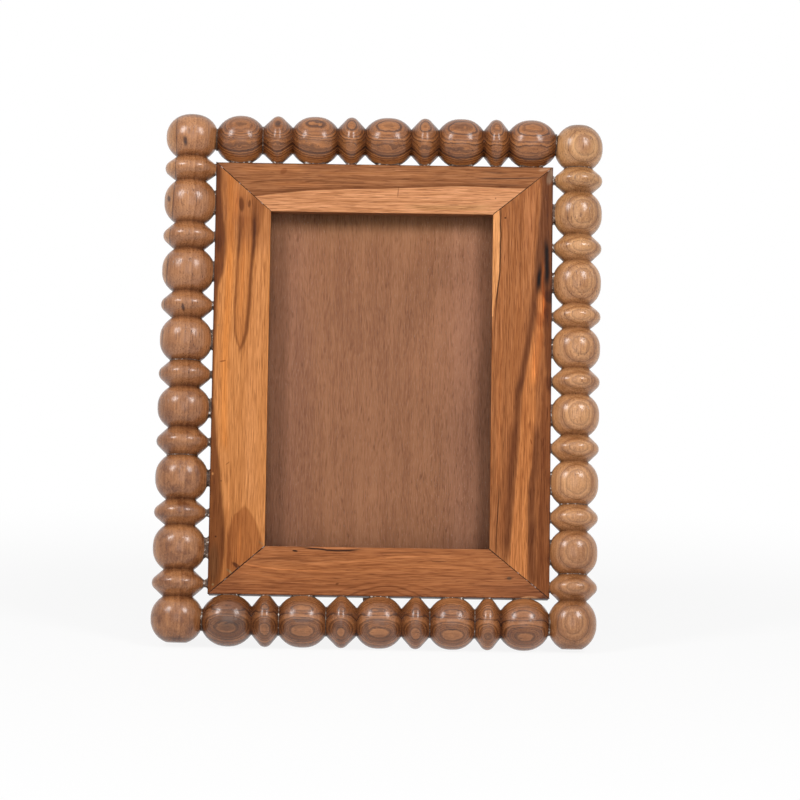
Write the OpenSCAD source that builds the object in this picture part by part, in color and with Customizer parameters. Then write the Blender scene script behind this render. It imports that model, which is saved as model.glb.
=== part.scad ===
// Wooden picture frame: four mitred flat rails inside a border of four turned
// bobbin spindles, with glass, a backing board and a hinged easel strut.
// Sizes are in millimetres. The frame is drawn upright round the centre of its
// picture opening, with the spindle axes in the plane y = 0 and the front
// towards -y. It is then leaned back on its strut: +Z is up, the front faces
// -Y, and the origin is on the table under the middle of the whole object.

/* [Picture opening] */
// Width of the opening between the side rails
opening_w = 96; // [80:1:130]
// Height of the opening between the end rails
opening_h = 145; // [120:1:190]
// How far the front lip laps the glass at each side
side_lap = 3.3; // [2:0.1:6]
// How far the front lip laps the glass at the top and the bottom
end_lap = 4.2; // [2:0.1:6]
// Gap round the glass and the board in their rebate
pane_gap = 0.5; // [0.2:0.1:1]
// Thickness of the glass
glass_t = 2; // [1.5:0.5:3]
// Thickness of the backing board, whose back is flush with the rails
board_t = 5; // [4:0.5:6]

/* [Mitred rails] */
// Thickness of the rails from front to back
rail_t = 14; // [12:0.5:18]
// Face width of the left rail
left_rail_w = 24; // [20:0.5:32]
// Face width of the right rail
right_rail_w = 25.8; // [20:0.1:32]
// Face width of the top rail
top_rail_w = 21.1; // [16:0.1:30]
// Face width of the bottom rail
bottom_rail_w = 20.7; // [16:0.1:30]
// Radius of the brads through the mitres
brad_r = 0.7; // [0.5:0.1:1]
// Length of the brads through the mitres
brad_l = 26; // [22:1:32]

/* [Turned spindles] */
// Radius of the beads on the left spindle
left_r = 11.3; // [10:0.1:13]
// Radius of the beads on the right spindle
right_r = 10.5; // [10:0.1:13]
// Radius of the beads on the top spindle
top_r = 10.6; // [10:0.1:13]
// Radius of the beads on the bottom spindle
bottom_r = 11.2; // [10:0.1:13]
// Depth of the left spindle's grooves, from the beads' crests down to the necks
left_groove = 4.8; // [4:0.05:6]
// Depth of the right spindle's grooves
right_groove = 4.5; // [4:0.05:6]
// Depth of the top spindle's grooves
top_groove = 4.85; // [4:0.05:6]
// Depth of the bottom spindle's grooves
bottom_groove = 5.15; // [4:0.05:6]
// Fullness of a ball towards its necks. At 2 it is round, above 2 it is squarer.
ball_power = 2.6; // [2:0.1:3.5]
// Rounding of the rim of each disc between two balls
rim_r = 3.2; // [2:0.1:3.8]
// Radius of the flat at each free end of the side spindles
end_flat_r = 4.4; // [3:0.1:5]
// How far the spindle axes lie behind the front face of the rails
axis_depth = 3; // [1:0.5:6]
// Depth of the flats on the end spindles' beads where they are glued to a rail
glue_flat = 0.2; // [0.1:0.05:0.5]
// Depth of the flat that a side spindle would have at its tight end
side_flat = 0.6; // [0.3:0.05:0.7]
// How far the left spindle drifts off its rail from its top ball to its bottom ball
left_drift = 2.2; // [0:0.1:2.5]
// How far the right spindle drifts off its rail from its bottom ball to its top ball
right_drift = 1.2; // [0:0.1:2]
// Depth of the flat on each corner ball where an end spindle meets it
corner_flat = 0.6; // [0.4:0.1:1]
// How much higher the top left ball sits than the top spindle's axis
top_left_rise = 1.2; // [-2:0.05:2]
// How much higher the top right ball sits than the top spindle's axis
top_right_rise = -1.05; // [-2:0.05:2]
// Radius of the dowels between the end spindles and the corner balls
dowel_r = 2.5; // [2:0.1:3]
// Length of each of those dowels, half of it in the corner ball
dowel_l = 16; // [12:1:18]

/* [Easel strut] */
// Angle that the frame leans back from upright
lean = 12; // [8:1:18]
// Angle between the open strut and the back of the frame
strut_open = 23; // [20:1:30]
// Distance of the hinge pin below the board's top edge
hinge_drop = 24; // [20:1:40]
// Thickness of the strut
strut_t = 3; // [2.5:0.5:4]
// Width of the strut at the hinge
strut_w = 44; // [36:1:60]
// Width of the strut's foot
foot_w = 9; // [8:1:18]
// How far the strut's bevelled shoulders reach above the hinge pin
shoulder_l = 6; // [4:0.5:7]
// Width of the hinge
hinge_w = 20; // [16:1:26]
// Length of each hinge leaf from the pin
leaf_l = 15; // [12:1:20]
// Thickness of the hinge leaves
leaf_t = 0.8; // [0.6:0.1:1]
// Outer radius of the hinge knuckles
knuckle_r = 1.6; // [1.5:0.1:2]
// Radius of the hinge pin
pin_r = 0.8; // [0.6:0.05:0.9]
// Running clearance round the pin and between the knuckles
hinge_gap = 0.05; // [0.03:0.01:0.09]
// Radius of the screw and rivet shanks that hold the leaves
leaf_shank_r = 1.1; // [0.8:0.1:1.3]
// Radius of the heads of those screws and rivets
leaf_head_r = 2.1; // [1.8:0.1:2.6]
// Thickness of those heads
leaf_head_t = 0.9; // [0.6:0.1:1.2]

/* [Turn buttons] */
// Length of each turn button from its screw to its holding end
button_l = 11; // [10:0.5:14]
// Length of each turn button from its screw to its other end
button_tail_l = 4; // [3:0.5:5]
// Width of each turn button
button_w = 8; // [7:0.5:10]
// Thickness of each turn button
button_t = 1.2; // [0.8:0.1:2]
// Distance of each button's screw from the rebate's edge
button_inset = 6; // [5:0.5:7]
// Distance of the buttons from the top and bottom of the opening
button_drop = 34; // [20:1:45]
// Radius of the button screws' shanks
button_shank_r = 1.3; // [1:0.1:1.6]
// Length of the button screws in the rail
button_shank_l = 8; // [6:0.5:9]
// Radius of the button screws' heads
button_head_r = 2.8; // [2.2:0.1:3.4]
// Thickness of the button screws' heads
button_head_t = 1.3; // [1:0.1:2]
// Clearance under, over and round each turn button
button_gap = 0.06; // [0.04:0.01:0.09]

/* [Hidden] */
$fn = 48;

// Lengths of the hand-turned beads along each spindle, ball and disc in turn,
// from the top down or from left to right. They are stretched to fit.
LEFT_BEADS = [18.3, 10.5, 18.5, 11.5, 18.5, 11.5, 18.5, 11.5, 17.5, 12, 19, 11, 19, 11.5, 19.5];
RIGHT_BEADS = [18.7, 11, 18.5, 11.5, 19, 10.5, 17.5, 11.5, 17.5, 11.5, 18.5, 11.5, 18.5, 11.5, 20.5];
TOP_BEADS = [20, 13, 19.5, 12, 20, 12, 19.5, 11, 20.5];
BOTTOM_BEADS = [21, 11.5, 20, 13, 19, 12, 19, 11, 20.5];
// Straight strokes in the outline of a ball's half and of a disc's rim
BALL_STROKES = 7;
RIM_STROKES = 6;
// Overshoot of a cutting tool past the wood that it cuts
PAST = 1;

// Faces of the rails and of what lies between them
front_y = -axis_depth;
back_y = front_y + rail_t;
board_y = back_y - board_t;
glass_y = board_y - glass_t;
rebate_w = opening_w + 2 * side_lap;
rebate_h = opening_h + 2 * end_lap;
pane_w = rebate_w - 2 * pane_gap;
pane_h = rebate_h - 2 * pane_gap;
left_x = -opening_w / 2 - left_rail_w;
right_x = opening_w / 2 + right_rail_w;
top_z = opening_h / 2 + top_rail_w;
bottom_z = -opening_h / 2 - bottom_rail_w;

// Axes of the spindles, and the planes where the end spindles meet the balls
top_axis = top_z + top_r - glue_flat;
bottom_axis = bottom_z - bottom_r + glue_flat;
left_top = left_x - left_r + side_flat;
left_bottom = left_top - left_drift;
right_bottom = right_x + right_r - side_flat;
right_top = right_bottom + right_drift;
top_row = [left_top + left_r - corner_flat, right_top - right_r + corner_flat];
bottom_row = [left_bottom + left_r - corner_flat, right_bottom - right_r + corner_flat];

// Hinge pin, on the back of the board
pin_y = back_y + knuckle_r + hinge_gap;
pin_z = pane_h / 2 - hinge_drop;
knuckle_l = hinge_w / 3;
strut_face = leaf_t + hinge_gap - knuckle_r;
strut_back = strut_face + strut_t;

// Where the frame stands when it leans back: on the beads of its bottom row
left_scale = fit(LEFT_BEADS, top_axis + top_left_rise - bottom_axis);
right_scale = fit(RIGHT_BEADS, top_axis + top_right_rise - bottom_axis);
left_reach = last(LEFT_BEADS) * left_scale / 2 * cos(lean) + end_flat_r * sin(lean);
right_reach = last(RIGHT_BEADS) * right_scale / 2 * cos(lean) + end_flat_r * sin(lean);
floor_z = bottom_axis * cos(lean) - max(bottom_r, left_reach, right_reach);
pin_out = pin_y * cos(lean) + pin_z * sin(lean);
pin_up = pin_z * cos(lean) - pin_y * sin(lean);
splay = strut_open - lean;
strut_l = (pin_up - floor_z + strut_back * sin(splay)) / cos(splay);
foot_out = pin_out + strut_back * cos(splay) + strut_l * sin(splay);
front_out = bottom_axis * sin(lean) - max(bottom_r, left_r, right_r);
shift = [-(left_bottom - left_r + right_top + right_r) / 2, -(front_out + foot_out) / 2, -floor_z];

// Fasteners
brad_y = (front_y + glass_y) / 2;
leaf_hole_x = hinge_w / 4;
leaf_hole_z = leaf_l * 0.6;
leaf_screw_l = board_t - 1;
button_x = [-rebate_w / 2 - button_inset, rebate_w / 2 + button_inset];
button_z = [opening_h / 2 - button_drop, button_drop - opening_h / 2];
button_y = back_y + button_gap;

// Stretch that makes a spindle's end balls sit a given distance apart
function last(list) = list[len(list) - 1];
function sum(list, count) = count <= 0 ? 0 : list[count - 1] + sum(list, count - 1);
function fit(beads, span) = span / (sum(beads, len(beads)) - (beads[0] + last(beads)) / 2);

// Half of a ball's outline towards a neck, as [radius, distance from its
// middle] points
function ball_half(crest, neck_r, half_l) = [for (i = [0:BALL_STROKES])
    let (t = i / BALL_STROKES) [crest - (crest - neck_r) * pow(t, ball_power), half_l * t]];

// Half of a ball's outline towards a free end: the arc from crest to end
function end_half(crest, end_r, half_l) =
    let (drop = crest - end_r, arc_r = (half_l * half_l + drop * drop) / (2 * drop),
        turn = asin(min(1, half_l / arc_r)))
    [for (i = [0:BALL_STROKES])
        let (a = turn * i / BALL_STROKES) [crest - arc_r + arc_r * cos(a), arc_r * sin(a)]];

// Half of a disc's outline: a rounded rim, then a straight flank to the neck
function disc_half(crest, neck_r, half_l) =
    let (hub = crest - rim_r, far = norm([neck_r - hub, half_l]),
        turn = atan2(half_l, neck_r - hub) - acos(min(1, rim_r / far)))
    concat([for (i = [0:RIM_STROKES / 2])
        let (a = turn * 2 * i / RIM_STROKES) [hub + rim_r * cos(a), rim_r * sin(a)]],
        [[neck_r, half_l]]);

function backwards(list) = [for (i = [len(list) - 1:-1:0]) list[i]];

// A whole bead from its start to its end along the spindle
function bead(half_in, half_out, middle) = concat(
    [for (p = backwards(half_in)) [p[0], middle - p[1]]],
    [for (i = [1:len(half_out) - 1]) [half_out[i][0], middle + half_out[i][1]]]);

// Outline of a spindle whose first bead starts at 0
function outline(beads, k, crest, neck_r, end_r) = [for (i = [0:len(beads) - 1])
    let (half_l = beads[i] * k / 2, middle = sum(beads, i) * k + half_l,
        ball = ball_half(crest, neck_r, half_l), disc = disc_half(crest, neck_r, half_l),
        end = end_half(crest, end_r, half_l))
    for (p = i % 2 == 1 ? bead(disc, disc, middle)
        : bead(i == 0 ? end : ball, i == len(beads) - 1 ? end : ball, middle)) p];

// Outline without the points that two neighbours share
function clean(points) = [for (i = [0:len(points) - 1])
    if (i == 0 || norm(points[i] - points[i - 1]) > 0.001) points[i]];

module spindle(beads, k, crest, neck_r, end_r) {
    points = clean(outline(beads, k, crest, neck_r, end_r));
    rotate_extrude($fn = 96)
        polygon(concat([[0, 0]], points, [[0, last(points)[1]]]));
}

// Places what is drawn upright where it stands, leaned back
module leaned() {
    translate(shift) rotate([-lean, 0, 0]) children();
}

// Swings what is drawn on the closed strut, with the pin at its origin, open
module opened() {
    leaned() translate([0, pin_y, pin_z]) rotate([strut_open, 0, 0]) children();
}

// A plate with its outline in the plane of the frame, between two depths
module slab(points, from_y, to_y) {
    translate([0, to_y, 0]) rotate([90, 0, 0]) linear_extrude(to_y - from_y) polygon(points);
}

// A block between two corners
module block(low, high) {
    translate(low) cube(high - low);
}

// A round bar along x, and one from the front of the object to its back
module bar_x(r, from, l) {
    translate(from) rotate([0, 90, 0]) cylinder(r = r, h = l);
}
module bar_y(r, from, l) {
    translate(from) rotate([-90, 0, 0]) cylinder(r = r, h = l);
}

// A corner of the picture opening, where two mitres meet
function inner(x_side, z_side) = [x_side * opening_w / 2, z_side * opening_h / 2];

// One rail: its mitred outline, less the rebate, the brads and the screws
module rail(outer_a, outer_b, inner_b, inner_a) {
    difference() {
        slab([outer_a, outer_b, inner_b, inner_a], front_y, back_y);
        block([-rebate_w / 2, glass_y, -rebate_h / 2], [rebate_w / 2, back_y + PAST, rebate_h / 2]);
        brads(PAST);
        for (x = button_x, z = button_z)
            bar_y(button_shank_r, [x, back_y - button_shank_l, z], button_shank_l + PAST);
    }
}

// The brads, driven in flush from the sides. As a tool, they reach past the wood.
module brads(past) {
    for (z = [opening_h / 2 + top_rail_w / 2, -opening_h / 2 - bottom_rail_w / 2]) {
        bar_x(brad_r, [left_x - past, brad_y, z], brad_l + past);
        bar_x(brad_r, [right_x - brad_l, brad_y, z], brad_l + past);
    }
}

module dowels() {
    for (x = top_row) bar_x(dowel_r, [x - dowel_l / 2, 0, top_axis], dowel_l);
    for (x = bottom_row) bar_x(dowel_r, [x - dowel_l / 2, 0, bottom_axis], dowel_l);
}

module top_rail() {
    color("peru") leaned()
        rail([left_x, top_z], [right_x, top_z], inner(1, 1), inner(-1, 1));
}

module bottom_rail() {
    color("peru") leaned()
        rail([left_x, bottom_z], [right_x, bottom_z], inner(1, -1), inner(-1, -1));
}

module left_rail() {
    color("peru") leaned()
        rail([left_x, bottom_z], [left_x, top_z], inner(-1, 1), inner(-1, -1));
}

module right_rail() {
    color("peru") leaned()
        rail([right_x, bottom_z], [right_x, top_z], inner(1, 1), inner(1, -1));
}

// A side spindle stands on end, from the middle of its bottom ball up to that
// of its top ball. The rail and the end spindles cut flats on its inner side.
module side_spindle(beads, k, crest, groove, low, high, rail_x, top_end, bottom_end) {
    inward = rail_x > low[0] ? [0, crest] : [-crest, 0];
    span = norm(high - low);
    difference() {
        translate([low[0], 0, low[1]]) rotate([0, atan2(high[0] - low[0], high[1] - low[1]), 0])
            translate([0, 0, span + beads[0] * k / 2]) mirror([0, 0, 1])
                spindle(beads, k, crest, crest - groove, end_flat_r);
        block([rail_x + inward[0], -crest, bottom_z], [rail_x + inward[1], crest, top_z]);
        for (end = [[top_end, top_axis], [bottom_end, bottom_axis]])
            block([end[0] + inward[0], -crest, end[1] - crest],
                [end[0] + inward[1], crest, end[1] + crest]);
        dowels();
    }
}

module left_spindle() {
    color("burlywood") leaned() side_spindle(LEFT_BEADS, left_scale, left_r, left_groove,
        [left_bottom, bottom_axis], [left_top, top_axis + top_left_rise],
        left_x, top_row[0], bottom_row[0]);
}

module right_spindle() {
    color("burlywood") leaned() side_spindle(RIGHT_BEADS, right_scale, right_r, right_groove,
        [right_bottom, bottom_axis], [right_top, top_axis + top_right_rise],
        right_x, top_row[1], bottom_row[1]);
}

// An end spindle lies along x between the corner balls, on its rail
module row_spindle(beads, crest, groove, row, axis_z, rail_z) {
    k = (row[1] - row[0]) / sum(beads, len(beads));
    inward = rail_z > axis_z ? [0, crest] : [-crest, 0];
    difference() {
        translate([row[0], 0, axis_z]) rotate([0, 90, 0])
            spindle(beads, k, crest, crest - groove, end_flat_r);
        block([left_x, -crest, rail_z + inward[0]], [right_x, crest, rail_z + inward[1]]);
        dowels();
    }
}

module top_spindle() {
    color("burlywood") leaned() row_spindle(TOP_BEADS, top_r, top_groove,
        top_row, top_axis, top_z);
}

module bottom_spindle() {
    color("burlywood") leaned() row_spindle(BOTTOM_BEADS, bottom_r, bottom_groove,
        bottom_row, bottom_axis, bottom_z);
}

module corner_dowels() {
    color("wheat") leaned() dowels();
}

module mitre_brads() {
    color("silver") leaned() brads(0);
}

module glass_pane() {
    color("lightblue", 0.4) leaned()
        block([-pane_w / 2, glass_y, -pane_h / 2], [pane_w / 2, board_y, pane_h / 2]);
}

module backing_board() {
    color("sienna") leaned() difference() {
        block([-pane_w / 2, board_y, -pane_h / 2], [pane_w / 2, back_y, pane_h / 2]);
        for (x = [-leaf_hole_x, leaf_hole_x])
            bar_y(leaf_shank_r, [x, back_y - leaf_screw_l, pin_z + leaf_hole_z], leaf_screw_l + PAST);
    }
}

// The leaf on the board carries the two outer knuckles
module hinge_fixed_leaf() {
    gap = knuckle_l / 2 + hinge_gap;
    color("goldenrod") leaned() translate([0, pin_y, pin_z]) difference() {
        union() {
            block([-hinge_w / 2, back_y - pin_y, 0], [hinge_w / 2, back_y - pin_y + leaf_t, leaf_l]);
            bar_x(knuckle_r, [-hinge_w / 2, 0, 0], hinge_w);
        }
        block([-gap, -2 * knuckle_r, -2 * knuckle_r], [gap, 2 * knuckle_r, knuckle_r + 2 * hinge_gap]);
        bar_x(pin_r, [-hinge_w / 2 - PAST, 0, 0], hinge_w + 2 * PAST);
        for (x = [-leaf_hole_x, leaf_hole_x])
            bar_y(leaf_shank_r, [x, -2 * knuckle_r, leaf_hole_z], 3 * knuckle_r);
    }
}

module hinge_pin() {
    color("silver") leaned() translate([0, pin_y, pin_z])
        bar_x(pin_r, [-hinge_w / 2, 0, 0], hinge_w);
}

module fixed_leaf_screws() {
    color("gold") leaned() for (x = [-leaf_hole_x, leaf_hole_x]) {
        bar_y(leaf_shank_r, [x, back_y - leaf_screw_l, pin_z + leaf_hole_z], leaf_screw_l + leaf_t);
        bar_y(leaf_head_r, [x, back_y + leaf_t, pin_z + leaf_hole_z], leaf_head_t);
    }
}

// The leaf on the strut carries the middle knuckle
module hinge_moving_leaf() {
    root = -knuckle_r - 2 * hinge_gap;
    color("goldenrod") opened() difference() {
        union() {
            block([-hinge_w / 2, strut_face - leaf_t, -leaf_l], [hinge_w / 2, strut_face, root]);
            block([-knuckle_l / 2, strut_face - leaf_t, root], [knuckle_l / 2, strut_face, 0]);
            bar_x(knuckle_r, [-knuckle_l / 2, 0, 0], knuckle_l);
        }
        bar_x(pin_r + hinge_gap, [-knuckle_l, 0, 0], 2 * knuckle_l);
        rivet_holes();
    }
}

module rivet_holes() {
    for (x = [-leaf_hole_x, leaf_hole_x])
        bar_y(leaf_shank_r, [x, strut_face - 2 * leaf_t, -leaf_hole_z], strut_t + 3 * leaf_t);
}

// The strut tapers to its foot. Its shoulders are bevelled to stop against the
// board when it is open, and its foot is cut to stand flat on the table.
module strut_leg() {
    notch = hinge_w / 2 + 4 * hinge_gap;
    neck = -knuckle_r - 4 * hinge_gap;
    reach = strut_l + strut_t;
    color("saddlebrown") difference() {
        opened() difference() {
            slab([[-strut_w / 2, shoulder_l], [strut_w / 2, shoulder_l], [strut_w / 2, -leaf_l],
                [foot_w / 2, -reach], [-foot_w / 2, -reach], [-strut_w / 2, -leaf_l]],
                strut_face, strut_back);
            block([-notch, strut_face - PAST, neck], [notch, strut_back + PAST, shoulder_l + PAST]);
            rivet_holes();
        }
        leaned() block([-strut_w, back_y - strut_w, pin_z - leaf_l],
            [strut_w, back_y + 2 * hinge_gap, pin_z + strut_w]);
        block([-strut_w, -strut_l, -strut_l], [strut_w, 2 * strut_l, 0]);
    }
}

module strut_rivets() {
    color("gold") opened() for (x = [-leaf_hole_x, leaf_hole_x]) {
        bar_y(leaf_shank_r, [x, strut_face - leaf_t, -leaf_hole_z], strut_t + leaf_t);
        bar_y(leaf_head_r, [x, strut_back, -leaf_hole_z], leaf_head_t);
    }
}

module button_screws() {
    head_y = button_y + button_t + button_gap;
    color("gold") leaned() for (x = button_x, z = button_z) {
        bar_y(button_shank_r, [x, back_y - button_shank_l, z], head_y - back_y + button_shank_l);
        bar_y(button_head_r, [x, head_y, z], button_head_t);
    }
}

// One turn button, its holding end pointing to the middle of the frame
module turn_button(x, z) {
    round_r = button_w / 2;
    flip = x > 0 ? 1 : 0;
    color("goldenrod") leaned() translate([x, button_y, z]) mirror([flip, 0, 0]) difference() {
        union() {
            block([-button_tail_l + round_r, 0, -round_r], [button_l - round_r, button_t, round_r]);
            bar_y(round_r, [round_r - button_tail_l, 0, 0], button_t);
            bar_y(round_r, [button_l - round_r, 0, 0], button_t);
        }
        bar_y(button_shank_r + button_gap, [0, -PAST, 0], button_t + 2 * PAST);
    }
}

module turn_button_upper_left() {
    turn_button(button_x[0], button_z[0]);
}

module turn_button_upper_right() {
    turn_button(button_x[1], button_z[0]);
}

module turn_button_lower_left() {
    turn_button(button_x[0], button_z[1]);
}

module turn_button_lower_right() {
    turn_button(button_x[1], button_z[1]);
}

top_rail();
bottom_rail();
left_rail();
right_rail();
left_spindle();
right_spindle();
top_spindle();
bottom_spindle();
corner_dowels();
mitre_brads();
glass_pane();
backing_board();
hinge_fixed_leaf();
hinge_pin();
fixed_leaf_screws();
strut_leg();
hinge_moving_leaf();
strut_rivets();
button_screws();
turn_button_upper_left();
turn_button_upper_right();
turn_button_lower_left();
turn_button_lower_right();
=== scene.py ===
"""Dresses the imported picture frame: woods, glue, glass and hardware, and the stage it stands on."""

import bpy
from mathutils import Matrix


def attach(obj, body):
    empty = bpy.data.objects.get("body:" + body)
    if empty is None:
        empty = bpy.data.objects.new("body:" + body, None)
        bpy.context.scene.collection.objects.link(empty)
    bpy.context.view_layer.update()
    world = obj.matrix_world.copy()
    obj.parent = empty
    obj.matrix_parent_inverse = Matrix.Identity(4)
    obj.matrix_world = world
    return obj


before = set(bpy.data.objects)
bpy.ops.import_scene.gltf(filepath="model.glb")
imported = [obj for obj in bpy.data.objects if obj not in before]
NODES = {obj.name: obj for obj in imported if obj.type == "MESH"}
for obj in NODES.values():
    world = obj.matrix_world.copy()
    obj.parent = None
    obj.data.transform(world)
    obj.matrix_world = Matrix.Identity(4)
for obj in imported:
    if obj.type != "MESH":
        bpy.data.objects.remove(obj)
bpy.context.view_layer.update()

import math
import random
from collections import namedtuple

import bmesh
import bpy
from bpy.props import FloatProperty, FloatVectorProperty, PointerProperty
from mathutils import Euler, Matrix, Vector

bl_info = {
    "name": "Bobbin Picture Frame",
    "version": (1, 0, 0),
    "blender": (4, 5, 0),
    "location": "View3D > Sidebar > Picture Frame",
    "description": "Dresses a turned wooden picture frame and sets its stage",
    "category": "Object",
}

MM = 0.001

# The plane of the frame: origin at the middle of the picture opening on the
# spindle axes, x to the right, y to the back, z up, leaned back by LEAN.
LEAN = math.radians(12)
SHIFT = Vector((0.4, -11.978, 113.123))
FRONT = -3.0
BACK = 11.0
OPENING_X, OPENING_Z = 48.0, 72.5
RAIL_LEFT, RAIL_RIGHT, RAIL_TOP, RAIL_BOTTOM = -72.0, 73.8, 93.6, -93.2
RAIL_SPANS = ((RAIL_LEFT, RAIL_RIGHT), (RAIL_BOTTOM, RAIL_TOP))

# Vertices of a solid that lie closer than this are one, in millimetres
WELD = 0.002
# Edges steeper than these are shaded sharp, and eased
SHARP_ANGLE, EASED_ANGLE = math.radians(32), math.radians(40)

# A spindle's axis from its first ball to its last, its crest radius and neck
# radius, and the direction from the axis towards its rail
Spindle = namedtuple("Spindle", "first last crest neck towards")
SPINDLES = {
    "left_spindle": Spindle((-82.7, 105.2), (-84.9, -104.2), 11.3, 6.5, (1, 0)),
    "right_spindle": Spindle((84.9, 102.95), (83.7, -104.2), 10.5, 6.0, (-1, 0)),
    "top_spindle": Spindle((-72.0, 104.0), (75.0, 104.0), 10.6, 5.75, (0, -1)),
    "bottom_spindle": Spindle((-74.2, -104.2), (73.8, -104.2), 11.2, 6.05, (0, 1)),
}


def srgb(red, green, blue):
    """A colour as it looks on screen, 0 to 255, as the linear colour that shaders use."""
    def linear(value):
        value /= 255
        return value / 12.92 if value <= 0.04045 else ((value + 0.055) / 1.055) ** 2.4
    return tuple(linear(value) for value in (red, green, blue))


def to_world(x, y, z):
    """A point of the frame's plane, in millimetres, where it stands, in metres."""
    sine, cosine = math.sin(LEAN), math.cos(LEAN)
    point = Vector((x, y * cosine + z * sine, -y * sine + z * cosine)) + SHIFT
    return point * MM


# Sizes and colours that a user would change.


def colour_setting(name, description, default):
    """A colour in the panel."""
    return FloatVectorProperty(
        name=name, description=description, subtype="COLOR", size=3, default=default)


def wood_setting(name, *colour):
    """The colour of one rail or spindle."""
    return colour_setting(name, f"Main colour of the {name.lower()}'s wood", srgb(*colour))


def sheen_setting(description, default):
    """A roughness in the panel."""
    return FloatProperty(
        name="Roughness", description=description, default=default, min=0.05, max=1.0, subtype="FACTOR")


def light_setting(name, description, default):
    """A softbox's power in the panel."""
    return FloatProperty(name=name, description=description, default=default, min=0.0, unit="POWER")


class RailSettings(bpy.types.PropertyGroup):
    left_wood: wood_setting("Left rail", 196, 127, 70)
    right_wood: wood_setting("Right rail", 158, 97, 54)
    top_wood: wood_setting("Top rail", 155, 99, 60)
    bottom_wood: wood_setting("Bottom rail", 158, 96, 54)
    arris: FloatProperty(
        name="Rounded edges", description="How far the rails' sharp edges are eased, in millimetres",
        default=0.25, min=0.05, max=1.0)
    sheen: sheen_setting("Roughness of the rails' satin lacquer", 0.42)


class SpindleSettings(bpy.types.PropertyGroup):
    left_wood: wood_setting("Left spindle", 169, 113, 71)
    right_wood: wood_setting("Right spindle", 198, 142, 93)
    top_wood: wood_setting("Top spindle", 165, 104, 56)
    bottom_wood: wood_setting("Bottom spindle", 166, 107, 62)
    sheen: sheen_setting("Roughness of the spindles' lacquer", 0.25)


class BackSettings(bpy.types.PropertyGroup):
    veneer: colour_setting("Board", "Main colour of the backing board's veneer", srgb(151, 102, 76))
    strut_wood: colour_setting("Strut", "Main colour of the easel strut's wood", srgb(142, 96, 62))
    brass: colour_setting(
        "Brass", "Colour of the hinge, the screws and the turn buttons", srgb(214, 172, 96))
    steel: colour_setting("Steel", "Colour of the hinge pin and the brads", srgb(170, 170, 172))


class GlueSettings(bpy.types.PropertyGroup):
    colour: colour_setting(
        "Glue", "Colour of the dried glue that was squeezed out of the joints", srgb(150, 138, 126))
    fillet: FloatProperty(
        name="Fillet",
        description="How far a bead curves away from its rail before its glue ends, in millimetres",
        default=0.95, min=0.2, max=3.0)


class StageSettings(bpy.types.PropertyGroup):
    floor: colour_setting("Floor", "Colour of the pale floor", (0.93, 0.93, 0.93))
    left_light: light_setting("Left softbox", "Power of the softbox on the left", 6.2)
    right_light: light_setting("Right softbox", "Power of the softbox on the right", 6.2)
    front_light: light_setting("Front softbox", "Power of the broad softbox in front", 3.0)
    top_light: light_setting("Top softbox", "Power of the softbox overhead", 0.6)
    surroundings: FloatProperty(
        name="Surroundings", description="Strength of the even light from all round",
        default=0.2, min=0.0)


# Short calls that build nodes.

# How far a streak fades towards its ends, in millimetres
STREAK_END = 4.0


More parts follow.
